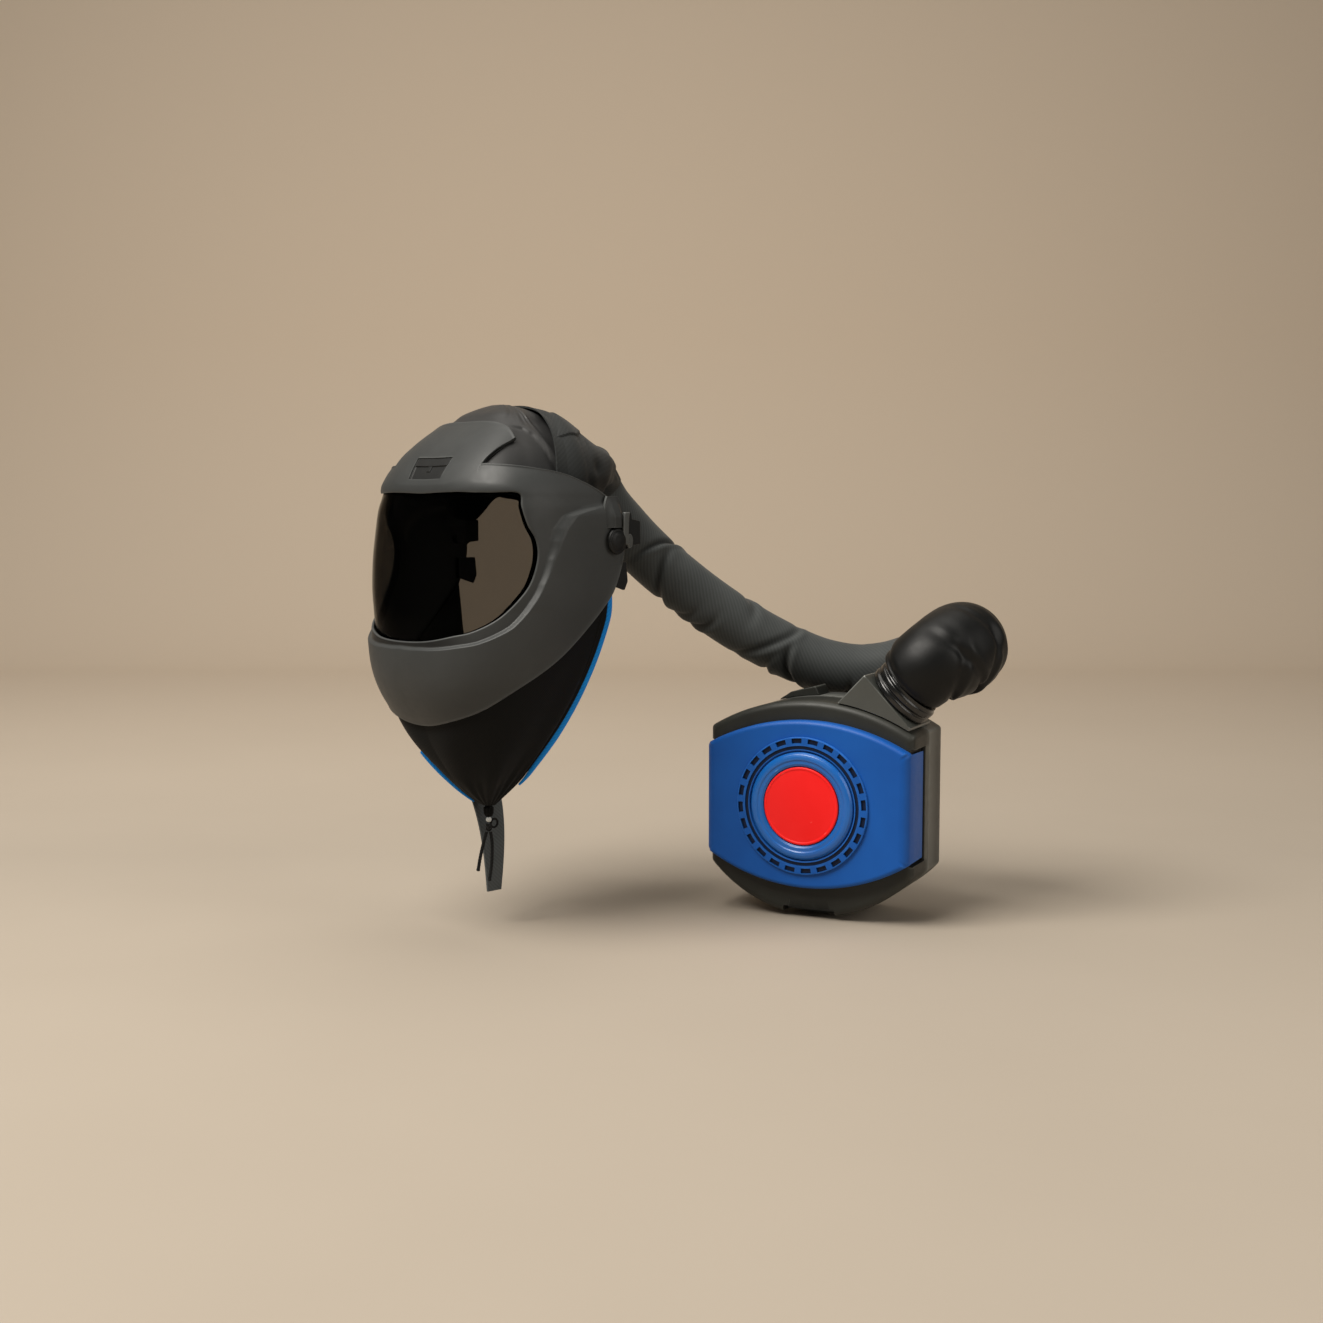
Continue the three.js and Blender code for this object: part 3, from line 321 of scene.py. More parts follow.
# %% Finish helpers
def linear(code):
    """An sRGB hex colour in linear light: c/12.92 when dark, ((c + 0.055)/1.055)^2.4 otherwise."""
    c = np.array([int(code[k:k + 2], 16) for k in (1, 3, 5)]) / 255
    rgb = np.where(c <= 0.04045, c / 12.92, ((c + 0.055) / 1.055) ** 2.4)
    return (*rgb.tolist(), 1.0)


def add(tree, kind, inputs=None, **settings):
    """One shader node with its settings; an input is a value, or another node's output to link."""
    node = tree.nodes.new("ShaderNode" + kind)
    for key, value in settings.items():
        setattr(node, key, value)
    for key, value in (inputs or {}).items():
        if isinstance(value, bpy.types.NodeSocket):
            tree.links.new(value, node.inputs[key])
        else:
            node.inputs[key].default_value = value
    return node


def new_finish(name, inputs):
    """A material with one Principled shader; returns it, its node tree and the shader."""
    material = bpy.data.materials.new(name)
    material.use_nodes = True
    tree = material.node_tree
    tree.nodes.clear()
    shader = add(tree, "BsdfPrincipled", inputs)
    add(tree, "OutputMaterial", {"Surface": shader.outputs[0]})
    return material, tree, shader


def per(millimetres):
    """A noise scale whose features are about this size."""
    return 1 / (millimetres * MM)


def bands(millimetres):
    """A wave scale whose bands are this far apart: the wave repeats every 0.314 / scale."""
    return 0.314 / (millimetres * MM)


print("mid grey in linear light:", round(linear("#808080")[0], 3))

# %% [markdown]
# ### Moulded plastic
# ABS and nylon from a spark-eroded mould: an even fine grain that breaks up the highlight, slow
# drifts of tone, and paler edges, partly rubbed by handling and partly painted highlight. Grain is
# really about 0.1 mm; it is drawn several times coarser so that it shows. The shade attribute
# paints shade into the floors of slots, into recesses and onto insides, and makes the lever plates
# black.

# %% Moulded plastics
# Near black for the shade attribute: painted shade in slots, recesses, folds, insides; black lever
# plates
SHADE_AND_TONE_BLACK = linear("#040505")


def moulded(name, dark, light, wear_and_highlight_tone, grain, roughness, coat=0.0, shine=0.25):
    """Grained plastic: two tones mixed by slow noise, a pale tone on convex edges that is partly
    rubbed wear and partly painted highlight, a near-black tone where the shade attribute asks for it
    (painted shade in slots, recesses and insides), and a bump and roughness that follow the grain."""
    material, tree, shader = new_finish(name, {
        "IOR": 1.53, "Coat Weight": coat, "Coat Roughness": 0.2, "Specular IOR Level": shine})
    place = add(tree, "TexCoord").outputs["Object"]
    drift = add(tree, "TexNoise", {"Vector": place, "Scale": per(60), "Detail": 4.0}).outputs["Fac"]
    spread = add(tree, "MapRange", {"Value": drift, "From Min": 0.3, "From Max": 0.7}).outputs[0]
    tone = add(tree, "Mix", {0: spread, 6: linear(dark), 7: linear(light)}, data_type="RGBA")
    # Pale convex edges: partly rubbed wear, partly painted highlight where edges catch the light
    bare = add(tree, "NewGeometry").outputs["Pointiness"]
    scuff = add(tree, "TexNoise", {"Vector": place, "Scale": per(7), "Detail": 5.0}).outputs["Fac"]
    edge = add(tree, "MapRange", {"Value": bare, "From Min": 0.52, "From Max": 0.6})
    edge_wear_and_highlight = add(tree, "Math", {0: edge.outputs[0], 1: scuff}, operation="MULTIPLY")
    pale = add(tree, "Mix", {0: edge_wear_and_highlight.outputs[0], 6: tone.outputs[2], 7: linear(wear_and_highlight_tone)},
               data_type="RGBA")
    # Painted shade: near black where the shade attribute marks slots, recesses and insides
    shade_mark = add(tree, "Attribute", attribute_name="shade").outputs["Fac"]
    colour = add(tree, "Mix", {0: shade_mark, 6: pale.outputs[2], 7: SHADE_AND_TONE_BLACK}, data_type="RGBA")
    fine = add(tree, "TexNoise", {"Vector": place, "Scale": per(grain), "Detail": 2.0}).outputs["Fac"]
    bump = add(tree, "Bump", {"Height": fine, "Strength": 0.25, "Distance": 0.00015})
    rough = add(tree, "MapRange", {"Value": scuff, "To Min": roughness - 0.07,
                                   "To Max": roughness + 0.09})
    tree.links.new(colour.outputs[2], shader.inputs["Base Color"])
    tree.links.new(rough.outputs[0], shader.inputs["Roughness"])
    tree.links.new(bump.outputs[0], shader.inputs["Normal"])
    print("finish:", name)
    return material


# Shell: a satin grain that spreads the light into soft grey bands; its pale edges are partly wear
# and partly painted highlight along the ridge and the chin lip
SHELL_ABS = moulded("satin_grey_abs", "#313333", "#383a3a", "#868988", 0.7, 0.47, shine=0.32)
# Knobs and tabs: nearly black, so that only their pale edges show, partly rubbed and partly painted
# highlight
BLACK_NYLON = moulded("black_nylon", "#060707", "#0b0c0c", "#2a2b2b", 0.6, 0.45)
# Brow plate: a shade paler and flatter than the knobs, so that its ledge and rib can be read
PLATE_NYLON = moulded("dark_grey_nylon", "#161717", "#1d1e1e", "#4a4b4b", 0.6, 0.5)
# Inner dome: coarse and matt, a quiet dark grey behind the shell's windows
DOME_NYLON = moulded("matt_grey_nylon", "#2b2b2b", "#333333", "#454545", 1.2, 0.45)
# Front half of the housing: warm charcoal with pale edges, partly scuffs and partly painted highlight
HOUSING_ABS = moulded("charcoal_abs", "#262724", "#2f302c", "#8d8f89", 0.8, 0.42)
# Rear half of the housing: a lighter warm grey, partly painted light on the side that faces the
# lamps; it tells the two halves apart
BACK_ABS = moulded("warm_grey_abs", "#3e3f3d", "#494a47", "#c0c2bc", 0.8, 0.4)
# Cover and intake ring: strong blue under a broad soft highlight
BLUE_ABS = moulded("blue_abs", "#0c4e9f", "#1058ad", "#3f86de", 0.7, 0.45)
# Disc: clean signal red, the brightest spot on the object
RED_ABS = moulded("signal_red_abs", "#f81818", "#ff2424", "#ff7a70", 0.6, 0.42)
# Bead: undyed nylon, pale and slightly glossy
PALE_NYLON = moulded("pale_nylon", "#b9bcba", "#cdd0ce", "#e6e8e6", 0.5, 0.4)

# %% [markdown]
# ### Cloth
# The hose sleeve and the hood are coated nylon twill, the cape a thinner black one: diagonal ribs
# with a soft sheen that lifts the edges, and a slow mottling where the coating has been handled.
# Ribs are really about 0.5 mm apart; they are drawn at about 2 mm so that they show. The shade
# attribute paints shade into the floors of folds. Rubber is a plain moulded finish, made where it
# is used.

# %% Cloths
def twill(name, dark, light, rib, roughness, sheen, depth=0.5):
    """Twill on the piece's own uv: diagonal ribs as a wave, broken by fine noise, give the bump
    and a small change of tone; slow noise mottles it, and a dark tone is painted as shade into the
    folds marked."""
    material, tree, shader = new_finish(name, {
        "Sheen Weight": sheen, "Sheen Roughness": 0.5, "IOR": 1.45, "Specular IOR Level": 0.15})
    place = add(tree, "TexCoord")
    uv, room = place.outputs["UV"], place.outputs["Object"]
    ribs = add(tree, "TexWave", {"Vector": uv, "Scale": bands(rib), "Distortion": 0.6,
                                 "Detail": 1.0}, bands_direction="DIAGONAL").outputs["Fac"]
    yarn = add(tree, "TexNoise", {"Vector": uv, "Scale": per(1.2), "Detail": 3.0}).outputs["Fac"]
    weave = add(tree, "Mix", {0: 0.35, 2: ribs, 3: yarn}).outputs[0]
    mottle = add(tree, "TexNoise", {"Vector": room, "Scale": per(38), "Detail": 5.0}).outputs["Fac"]
    blend = add(tree, "Mix", {0: 0.6, 2: weave, 3: mottle}).outputs[0]
    share = add(tree, "MapRange", {"Value": blend, "From Min": 0.3, "From Max": 0.7}).outputs[0]
    tone = add(tree, "Mix", {0: share, 6: linear(dark), 7: linear(light)}, data_type="RGBA")
    # Painted shade: near black where the shade attribute marks the floors of folds
    dip = add(tree, "Attribute", attribute_name="shade").outputs["Fac"]
    colour = add(tree, "Mix", {0: dip, 6: tone.outputs[2], 7: SHADE_AND_TONE_BLACK}, data_type="RGBA")
    bump = add(tree, "Bump", {"Height": weave, "Strength": depth, "Distance": 0.0003})
    rough = add(tree, "MapRange", {"Value": mottle, "To Min": roughness - 0.1,
                                   "To Max": roughness + 0.1})
    tree.links.new(colour.outputs[2], shader.inputs["Base Color"])
    tree.links.new(rough.outputs[0], shader.inputs["Roughness"])
    tree.links.new(bump.outputs[0], shader.inputs["Normal"])
    print("finish:", name)
    return material


# Hose sleeve: mid-grey ribs with a faint sheen towards the outline
HOSE_TWILL = twill("coated_nylon_twill", "#393c3c", "#464949", 2.4, 0.6, 0.08, 0.3)
# Hood: the same cloth, made darker than the hose sleeve
HOOD_TWILL = twill("dark_hood_twill", "#232525", "#2a2c2c", 2.4, 0.65, 0.06, 0.25)
# Cape and gather: nearly black and matt, so that little but the folds and edges shows
CAPE_TWILL = twill("black_cape_twill", "#060707", "#0e0f0f", 2.0, 0.72, 0.02, 0.35)
# Binding and piping: bright blue tape, the one light line on the cape
BLUE_TAPE = twill("blue_binding_tape", "#0a7ad0", "#1090ec", 2.0, 0.55, 0.1)
# Tail and notch strip: matt grey webbing
WEBBING = twill("grey_webbing", "#45494a", "#545859", 2.0, 0.75, 0.1, 0.35)
# Drawstring: black braid with a deep weave, which breaks up its outline
CORD_BRAID = twill("black_braid", "#0c0d0d", "#1a1b1b", 1.6, 0.75, 0.1, 0.9)

# %% [markdown]
# ## Breathing hose
# A corrugated air hose in a cloth sleeve, about 54 mm across. It leaves the back of the hood,
# falls behind the cheek and comes up again into the boot on the blower's elbow. A bare tube looks
# like a pipe, so the radius also depends on the angle: each crease is a dent that winds round the
# sleeve at a slant, with a small pucker beside it. Little light gets into a fold, so the floors of
# the creases are marked to be darker. The cloth is also slack between the creases, and a sewn seam
# runs along its underside.

# %% Creases
def creased(run, angle, creases):
    """The sum over the creases of depth (pucker - dent): a dent exp(-d^2) and beside it a pucker,
    d the distance along from a line at place + slant sin(angle), strongest at one angle."""
    place, slant, width, where, depth = (c[:, None, None] for c in creases.T)
    turn = angle - np.radians(where)
    d = (run[:, None] - place - slant * np.sin(turn)) / width
    window = ramp(np.cos(turn), -0.6, 0.9)
    return np.sum(depth * window * (0.4 * np.exp(-(d - 1.8) ** 2) - np.exp(-d ** 2)), axis=0)


print("creases: dents exp(-d^2) along slanted lines")

# %% Hose
HOSE_RADIUS = 27.0
HOSE_ROUTE = np.array([
    (0, 76.2, 38.4), (0.5, 91, 20.5), (2.5, 109, 4), (8, 127, -14), (18, 144, -32),
    (31, 161, -49.5), (46, 179, -68), (61, 197, -85), (76, 216, -101), (91, 236, -115.5),
    (107, 257.5, -129), (125, 280, -139.5), (147, 303, -144.5), (172, 320.5, -141),
    (197.5, 329, -132.5), (220.8, 328.6, -124.7)])
# Creases: place along the hose, slant, width (mm), angle of the deepest point (degrees), depth
HOSE_CREASES = np.array([
    (40, 14, 5, 40, 1.8), (95, 20, 4, 200, 2.4), (118, -18, 5, 90, 2.6), (136, 24, 4, 20, 2.2),
    (160, 20, 4, 30, 2.8), (192, -18, 6, 250, 2.0), (240, 22, 5, 140, 2.0), (264, -18, 3.5, 10, 3.0),
    (282, -24, 4, 60, 3.8), (306, 26, 3.5, 10, 4.2), (326, -22, 4, 340, 3.6), (350, 24, 4, 30, 3.6),
    (380, 20, 4, 90, 3.2), (402, 10, 4, 200, 2.4)])
HOSE_ROWS, HOSE_SIDES = 260, 72
CREASE_DEPTH, CREASE_DARK = 1.3, 0.6
SLACK, SLACK_LENGTH = 0.9, 47
SEAM_HEIGHT, SEAM_SIDE, SEAM_WIDE = 0.9, 50, 1.6
hose_path = evenly(cubic(HOSE_ROUTE, np.linspace(0, len(HOSE_ROUTE) - 1, 400)), HOSE_ROWS)
hose_run = np.linspace(0, np.linalg.norm(np.diff(hose_path, axis=0), axis=1).sum(), HOSE_ROWS)
hose_angle = 2 * np.pi * np.arange(HOSE_SIDES) / HOSE_SIDES
hose_bend = np.cross(hose_path[1] - hose_path[0], hose_path[-1] - hose_path[-2])
slack = (SLACK * np.sin(hose_run[:, None] / SLACK_LENGTH + 2 * np.sin(hose_angle))
         * np.cos(2 * hose_angle + 1))
seam = SEAM_HEIGHT * np.exp(-((np.arange(HOSE_SIDES) - SEAM_SIDE) / SEAM_WIDE) ** 2)
hose_crease = CREASE_DEPTH * creased(hose_run, hose_angle, HOSE_CREASES)
hose_radius = HOSE_RADIUS + hose_crease + slack + seam
hose = piece("hose_sleeve", HOSE_TWILL,
             [tube(hose_path, hose_radius, hose_bend, HOSE_SIDES)], ["hose"],
             shade=CREASE_DARK * ramp(-hose_crease, 0.4, 3.5))
print(f"hose: {hose_run[-1]:.0f} mm along its middle")

# %% [markdown]
# ## Drawstring ends
# Two short ends of braided cord hang below the knot that draws the cape in. Each is a thin tube
# on its own route, and its radius swells a little at the cut end, where braid is heat-sealed.

# %% Drawstring
STRING_RADIUS, STRING_ROWS, STRING_SIDES = 1.6, 60, 16
STRING_ROUTES = {
    "drawstring_end_a": [(-1, -60, -282.4), (-1.5, -63, -292), (-2.5, -66.5, -306), (-3, -69, -319)],
    "drawstring_end_b": [(1.2, -57, -282.4), (2.2, -56, -294), (2.5, -57, -312), (2, -59.5, -329)],
}
for node, route in STRING_ROUTES.items():
    path = evenly(cubic(route, np.linspace(0, len(route) - 1, 80)), STRING_ROWS)
    length = np.linalg.norm(np.diff(path, axis=0), axis=1).sum()
    along = np.linspace(0, length, STRING_ROWS)[:, None]
    braid = 0.07 * np.sin(along * 2.2 + 3 * 2 * np.pi * np.arange(STRING_SIDES) / STRING_SIDES)
    sealed = 0.25 * ramp(along, length - 3, length - 1) - 0.8 * ramp(along, length - 0.8, length)
    strand = piece(node.replace("end", "strand"), CORD_BRAID,
                   [tube(path, STRING_RADIUS + braid + sealed, (1, 0, 0), STRING_SIDES)], [node])
    print(f"{node}: {length:.0f} mm")

# %% [markdown]
# ## The helmet's form
# Shell, visor and seal all follow one smooth head-shaped form. At each level it is a squared
# ellipse, |x/half|^n + |y/reach|^n = 1, and above the brow it closes to a dome. A point in space
# is put on the form along the line from the middle of the head, and raised along the normal,
# so a wall is the same surface at two heights.

# %% Form
FORM_MIDDLE, FORM_BACK, FORM_BROW, FORM_TOP = -35.0, 190.0, 31.0, 117.0
FRONT_BOW, SIDE_BOW = 1.5, 1.65
# Level, reach to the front and half width
FORM_ROWS = np.array([
    (-190, 84, 68), (-178, 94, 76), (-164, 105, 85), (-145, 115, 94), (-126, 120, 101),
    (-102, 121, 106), (-66, 119, 109.5), (-30, 113.5, 111), (0, 107, 111.5), (20, 102, 111.5),
    (31, 99, 110.5)])
HEAD = np.array((0.0, -50.0, 0.0))


def form_section(z):
    """Reach to the front and back, half width and squareness n of the form at each level."""
    levels = FORM_ROWS[:, 0]
    z_in = np.clip(z, levels[0], levels[-1])
    i = np.clip(np.searchsorted(levels, z_in) - 1, 0, len(levels) - 2)
    ahead = np.clip(np.arange(len(levels)) + 1, 0, len(levels) - 1)
    behind = np.clip(np.arange(len(levels)) - 1, 0, len(levels) - 1)
    slope = (FORM_ROWS[ahead] - FORM_ROWS[behind]) / (levels[ahead] - levels[behind])[:, None]
    step = (levels[i + 1] - levels[i])[..., None]
    t = (z_in - levels[i])[..., None] / step
    rise = 3 * t ** 2 - 2 * t ** 3
    lean = (t ** 3 - 2 * t ** 2 + t) * step * slope[i] + (t ** 3 - t ** 2) * step * slope[i + 1]
    rows = FORM_ROWS[i] * (1 - rise) + FORM_ROWS[i + 1] * rise + lean
    close = np.clip((z - FORM_BROW) / (FORM_TOP - FORM_BROW), 0, 0.99999)
    side = (1 - close ** SIDE_BOW) ** (1 / SIDE_BOW)
    front = rows[..., 1] * (1 - close ** FRONT_BOW) ** (1 / FRONT_BOW)
    square = 2.6 + 0.6 * np.clip((z + 70) / 90, 0, 1)
    return front, FORM_BACK * side, rows[..., 2] * side, square


def form_value(p):
    """Below zero inside the form and above zero outside it."""
    front, back, half, square = form_section(p[..., 2])
    y = p[..., 1] - FORM_MIDDLE
    reach = np.where(y < 0, front, back)
    value = (np.abs(p[..., 0]) / half) ** square + (np.abs(y) / reach) ** square - 1
    return np.where(p[..., 2] >= FORM_TOP, 1.0, value)


def raised(point, height):
    """The form's point in the direction of a given point, found by halving, then moved along the
    normal, which is the slope of the form's value."""
    way = unit(point - HEAD)
    inside = np.zeros(point.shape[:-1])
    outside = np.full(point.shape[:-1], 400.0)
    for _ in range(40):
        middle = (inside + outside) / 2
        within = form_value(HEAD + way * middle[..., None]) < 0
        inside, outside = np.where(within, middle, inside), np.where(within, outside, middle)
    base = HEAD + way * inside[..., None]
    steps = 0.05 * np.eye(3)
    slope = np.stack([form_value(base + s) - form_value(base - s) for s in steps], -1)
    return base + unit(slope) * np.asarray(height)[..., None]


def between(start, end, share):
    """A point part of the way along the arc between two points, seen from the head's middle."""
    a, b = unit(start - HEAD), unit(end - HEAD)
    angle = np.arccos(np.clip(np.sum(a * b, -1), -1, 1))
    return HEAD + a * np.sin((1 - share) * angle)[..., None] + b * np.sin(share * angle)[..., None]


print("form: half width at the brow", form_section(np.array([31.0]))[2].round(1))

# %% [markdown]
# ### Stations round the opening
# The shell is a band between two outlines: the visor opening and the shell's outer edge. They are
# given at twenty stations from the crown down to the chin on the wearer's left; the right side is
# the mirror image. Between stations both run on a smooth curve that breaks only at two corners of
# the side window.

# %% Stations
# Point of the opening and point of the edge
STATIONS = np.array([
    (0, -133, 38.5, 0, -78, 99.5), (20, -132.5, 39, 24, -77, 99), (38, -131, 39, 52, -74, 94.5),
    (50, -129.5, 39, 68, -77, 86), (58, -127.5, 39, 64.5, -98, 74.5),
    (66, -125, 39, 62.8, -113.5, 61), (80, -120, 38.5, 84.6, -101, 60),
    (93, -110, 36.5, 99, -80, 57), (101, -101, 33, 107, -45, 50),
    (103.5, -101, 22, 112.5, -5, 31), (105.5, -96, 6, 114, 6, 12),
    (108.5, -88.5, -8, 114.5, 10, -10), (108.8, -87, -24, 114, 10, -26),
    (106, -93, -45, 113.2, 0, -53), (101.5, -105, -62, 112.5, -15, -72),
    (92, -119, -76.5, 107.6, -54, -108), (75, -136, -87.5, 93, -94, -136.5),
    (57, -147, -92, 73, -116, -155), (28, -154, -96, 41.5, -131, -168),
    (0, -156, -97.5, 0, -132, -175)])
# Station, foot and top of the cheek's ridge as shares of the way to the edge, cheek's height
RIDGE = np.array([
    (9, 1.1, 1.5, 1), (9.35, 0.68, 1.05, 3), (9.5, 0.5, 0.78, 4.3), (9.7, 0.36, 0.53, 5.2),
    (10.3, 0.22, 0.37, 5.5), (11, 0.13, 0.25, 5.5), (12, 0.08, 0.155, 5.5), (13, 0.075, 0.125, 5.5),
    (14, 0.105, 0.155, 5.5), (15, 0.155, 0.205, 5), (16, 0.145, 0.19, 4.2), (17, 0.115, 0.158, 3.4),
    (18, 0.07, 0.11, 2.6), (19, 0.05, 0.092, 2.2)])
EDGE_CORNERS = (3, 5)
LAST_STATION = len(STATIONS) - 1
MIRROR = np.array((-1, 1, 1))


def along_stations(place):
    """Opening and edge at real-numbered stations: cubic pieces whose slope is half the step
    between a station's neighbours, and stops short at the edge's corners."""
    flip = np.r_[MIRROR, MIRROR]
    table = np.vstack([STATIONS[1] * flip, STATIONS, STATIONS[-2] * flip])
    i = np.clip(np.floor(place).astype(int), 0, LAST_STATION - 1)
    t = (place - i)[:, None]
    before, start, end, after = (table[i + n] for n in range(4))
    leave, arrive = (end - before) / 2, (after - start) / 2
    corner = np.isin(i, EDGE_CORNERS)[:, None], np.isin(i + 1, EDGE_CORNERS)[:, None]
    edge = slice(3, 6)
    leave[:, edge] = np.where(corner[0], (end - start)[:, edge] / 2, leave[:, edge])
    arrive[:, edge] = np.where(corner[1], (end - start)[:, edge] / 2, arrive[:, edge])
    rise = 3 * t ** 2 - 2 * t ** 3
    value = start * (1 - rise) + end * rise
    value += (t ** 3 - 2 * t ** 2 + t) * leave + (t ** 3 - t ** 2) * arrive
    return value[:, :3], value[:, edge]


def along_ridge(place):
    """Foot and top of the ridge and the cheek's height, straight between the stations given."""
    return [np.interp(place, RIDGE[:, 0], column) for column in RIDGE[:, 1:].T]


def round_the_shell(values):
    """A left-hand array of stations with its mirror image, as one closed loop."""
    right = values[-2:0:-1]
    if values.shape[-1] == 3:
        right = right * MIRROR
    return np.concatenate([values, right])


print("stations on each side:", len(STATIONS))

# %% Brow recess
SOCKET_MIDDLE = np.array((0.0, -123.0, 56.0))
SOCKET_TALL, SOCKET_PLACE, SOCKET_STEP = 24.0, 1.09, 0.02
socket_sides = SOCKET_PLACE - SOCKET_STEP, SOCKET_PLACE + SOCKET_STEP
places = np.sort(np.r_[np.linspace(0, LAST_STATION, 229), socket_sides])
opening, edge = along_stations(places)
on_form = np.zeros(len(places))
span = np.linalg.norm(raised(opening, on_form) - raised(edge, on_form), axis=1)
brow_shares = np.linspace(0, 1, 200)
brow_line = raised(between(opening[:1], edge[:1], brow_shares), np.zeros(200))
socket_share = brow_shares[np.argmin(np.linalg.norm(brow_line - SOCKET_MIDDLE, axis=1))]
SOCKET_LOW = socket_share - SOCKET_TALL / 2 / span[0]
SOCKET_HIGH = socket_share + SOCKET_TALL / 2 / span[0]
print(f"brow is {span[0]:.0f} mm tall, socket from {SOCKET_LOW:.2f} to {SOCKET_HIGH:.2f} of it")

# %% [markdown]
# ## Helmet shell
# One grey injection moulding, 3 mm thick: brow, temple band, raised cheek and chin. Its section is
# a closed loop of points, out over the face, round the rim, back along the inside and round the
# rim of the visor opening. The cheek's ridge is a smooth step in height, and the brow's recess
# for the accessory plate is a sharp one, so grid lines are bunched at both. The wing beside the
# side window is pressed towards the dome. The inside, and a band on the chin between the opening
# and the ridge, get painted shade: there the grey is mixed towards black.

# %% Shell section
SHELL_WALL, SOCKET_SINK = 3.0, 2.3
BROW_BEVEL, BEVEL_DROP, BEVEL_START = 4.5, 1.5, 3.0
RIM_ROLL, RIM_ROLL_PLACE, RIM_ROLL_WIDTH = 0.7, 2.2, 1.3
rim = SHELL_WALL / 2
turn = np.linspace(0, np.pi, 8)[1:-1]
lip = (rim / span)[:, None]
foot, top, cheek = (value[:, None] for value in along_ridge(places))
brow_part = (1 - ramp(places, 1.4, 3.0))[:, None]
near = SOCKET_LOW * brow_part + np.minimum(foot, 0.62) * (1 - brow_part)
far = SOCKET_HIGH * brow_part + np.minimum(top, 0.8) * (1 - brow_part)
step = np.array([0, 0.02, 0.12, 0.25, 0.38, 0.5, 0.62, 0.75, 0.88, 0.98])
share = np.hstack([
    lip + (near - lip) * np.linspace(0, 1, 9)[:-1], near + (far - near) * step,
    far + (1 - lip - far) * np.linspace(0, 1, 24), 1 - lip + lip * np.sin(turn),
    1 - lip - (1 - 2 * lip) * np.linspace(0, 1, 16), lip - lip * np.sin(turn)])
level = np.r_[np.zeros(8 + len(step) + 24), -rim * (1 - np.cos(turn)),
              np.full(16, -SHELL_WALL), -rim * (1 + np.cos(turn))]
outside = level == 0
print(f"shell section: {share.shape[1]} points at {len(places)} places")

# %% Shell
WING_TUCK, WING_STATION, WING_WIDE = 3.2, 3.5, 1.1
# Painted shade: how near black the inside and the chin band below the ridge become, and the band's
# soft edge
INSIDE_SHADE, CHIN_SHADE_DARK, CHIN_SHADE_WIDE = 0.95, 0.85, 0.012
proud = cheek * ramp(share, foot, top)
sunk = ((places[:, None] < SOCKET_PLACE) & outside & (share > near + 0.01 * (far - near))
        & (share < far - 0.01 * (far - near)))
from_edge = (1 - share) * span[:, None]
roll = RIM_ROLL * outside * np.exp(-((from_edge - RIM_ROLL_PLACE) / RIM_ROLL_WIDTH) ** 2)
bevel = (1 - ramp(places, 6, 8))[:, None] * (1 - ramp(share * span[:, None], 0, BEVEL_START))
wing = (WING_TUCK * np.exp(-((places[:, None] - WING_STATION) / WING_WIDE) ** 2)
        * ramp(share, 0.5, 1))
height = (level + proud + roll - wing - SOCKET_SINK * sunk
          - BEVEL_DROP * bevel * (1 + level / SHELL_WALL))
bevelled_share = share - BROW_BEVEL * bevel / span[:, None]
shell_half = raised(between(opening[:, None], edge[:, None], bevelled_share), height)
shell_grid = round_the_shell(shell_half)
# Painted shade on the inside of the grey moulding and on the chin band below the ridge
inside_shade_mask = INSIDE_SHADE * ramp(-level, 1.6, 2.6)
chin_shade_mask = (CHIN_SHADE_DARK * outside * ramp(places, 15.8, 17.6)[:, None]
             * (1 - ramp(share, foot - CHIN_SHADE_WIDE, foot)))
piece("shell_moulding", SHELL_ABS,
      [skin(shell_grid, round_rows=True, poles=False)], ["helmet_shell"], sharp=50,
      shade=round_the_shell(np.maximum(inside_shade_mask, chin_shade_mask)))

# %% [markdown]
# ## Brow plate
# A dark plate sits in the brow's recess, with a raised ledge along its top and a short rib in the
# middle, where an accessory clips on. It uses the shell's own stations, so it is curved as the
# brow is and fits the recess; the ledge and the rib are steps in its height.

# %% Brow plate
PLATE_FLOOR, PLATE_LEDGE, PLATE_RIB, PLATE_BACK = -1.6, -0.3, -0.7, -2.2
plate_side = np.linspace(-1, 1, 95)
plate_up = np.linspace(0, 1, 49)
plate_places = np.abs(plate_side) * (SOCKET_PLACE - 0.03)
plate_open, plate_edge = along_stations(plate_places)
hand = np.where(plate_side < 0, -1, 1)[:, None] ** np.array((1, 0, 0))
margin = 0.03 * (SOCKET_HIGH - SOCKET_LOW)
plate_share = SOCKET_LOW + margin + (SOCKET_HIGH - SOCKET_LOW - 2 * margin) * plate_up
plate_points = between((plate_open * hand)[:, None], (plate_edge * hand)[:, None], plate_share)
ledge = ramp(plate_up, 0.6, 0.63) * (1 - 0.35 * ramp(plate_up, 0.94, 0.97))
rib_mask = (1 - ramp(np.abs(plate_side), 0.1, 0.13))[:, None] * ramp(plate_up, 0.34, 0.38)
raise_by = np.maximum((PLATE_LEDGE - PLATE_FLOOR) * ledge, (PLATE_RIB - PLATE_FLOOR) * rib_mask)
frame_edge = 0.9 * ramp(np.abs(plate_side), 0.95, 0.97)[:, None]
plate_out = raised(plate_points, PLATE_FLOOR + np.maximum(raise_by, frame_edge))
plate_in = raised(plate_points, np.full(plate_points.shape[:2], PLATE_BACK))
plate_uv = np.zeros((*plate_out.shape[:2], 2))
piece("brow_plate", PLATE_NYLON, [sheet_skin(plate_out, plate_in, plate_uv)],
      ["brow_socket"], sharp=30)

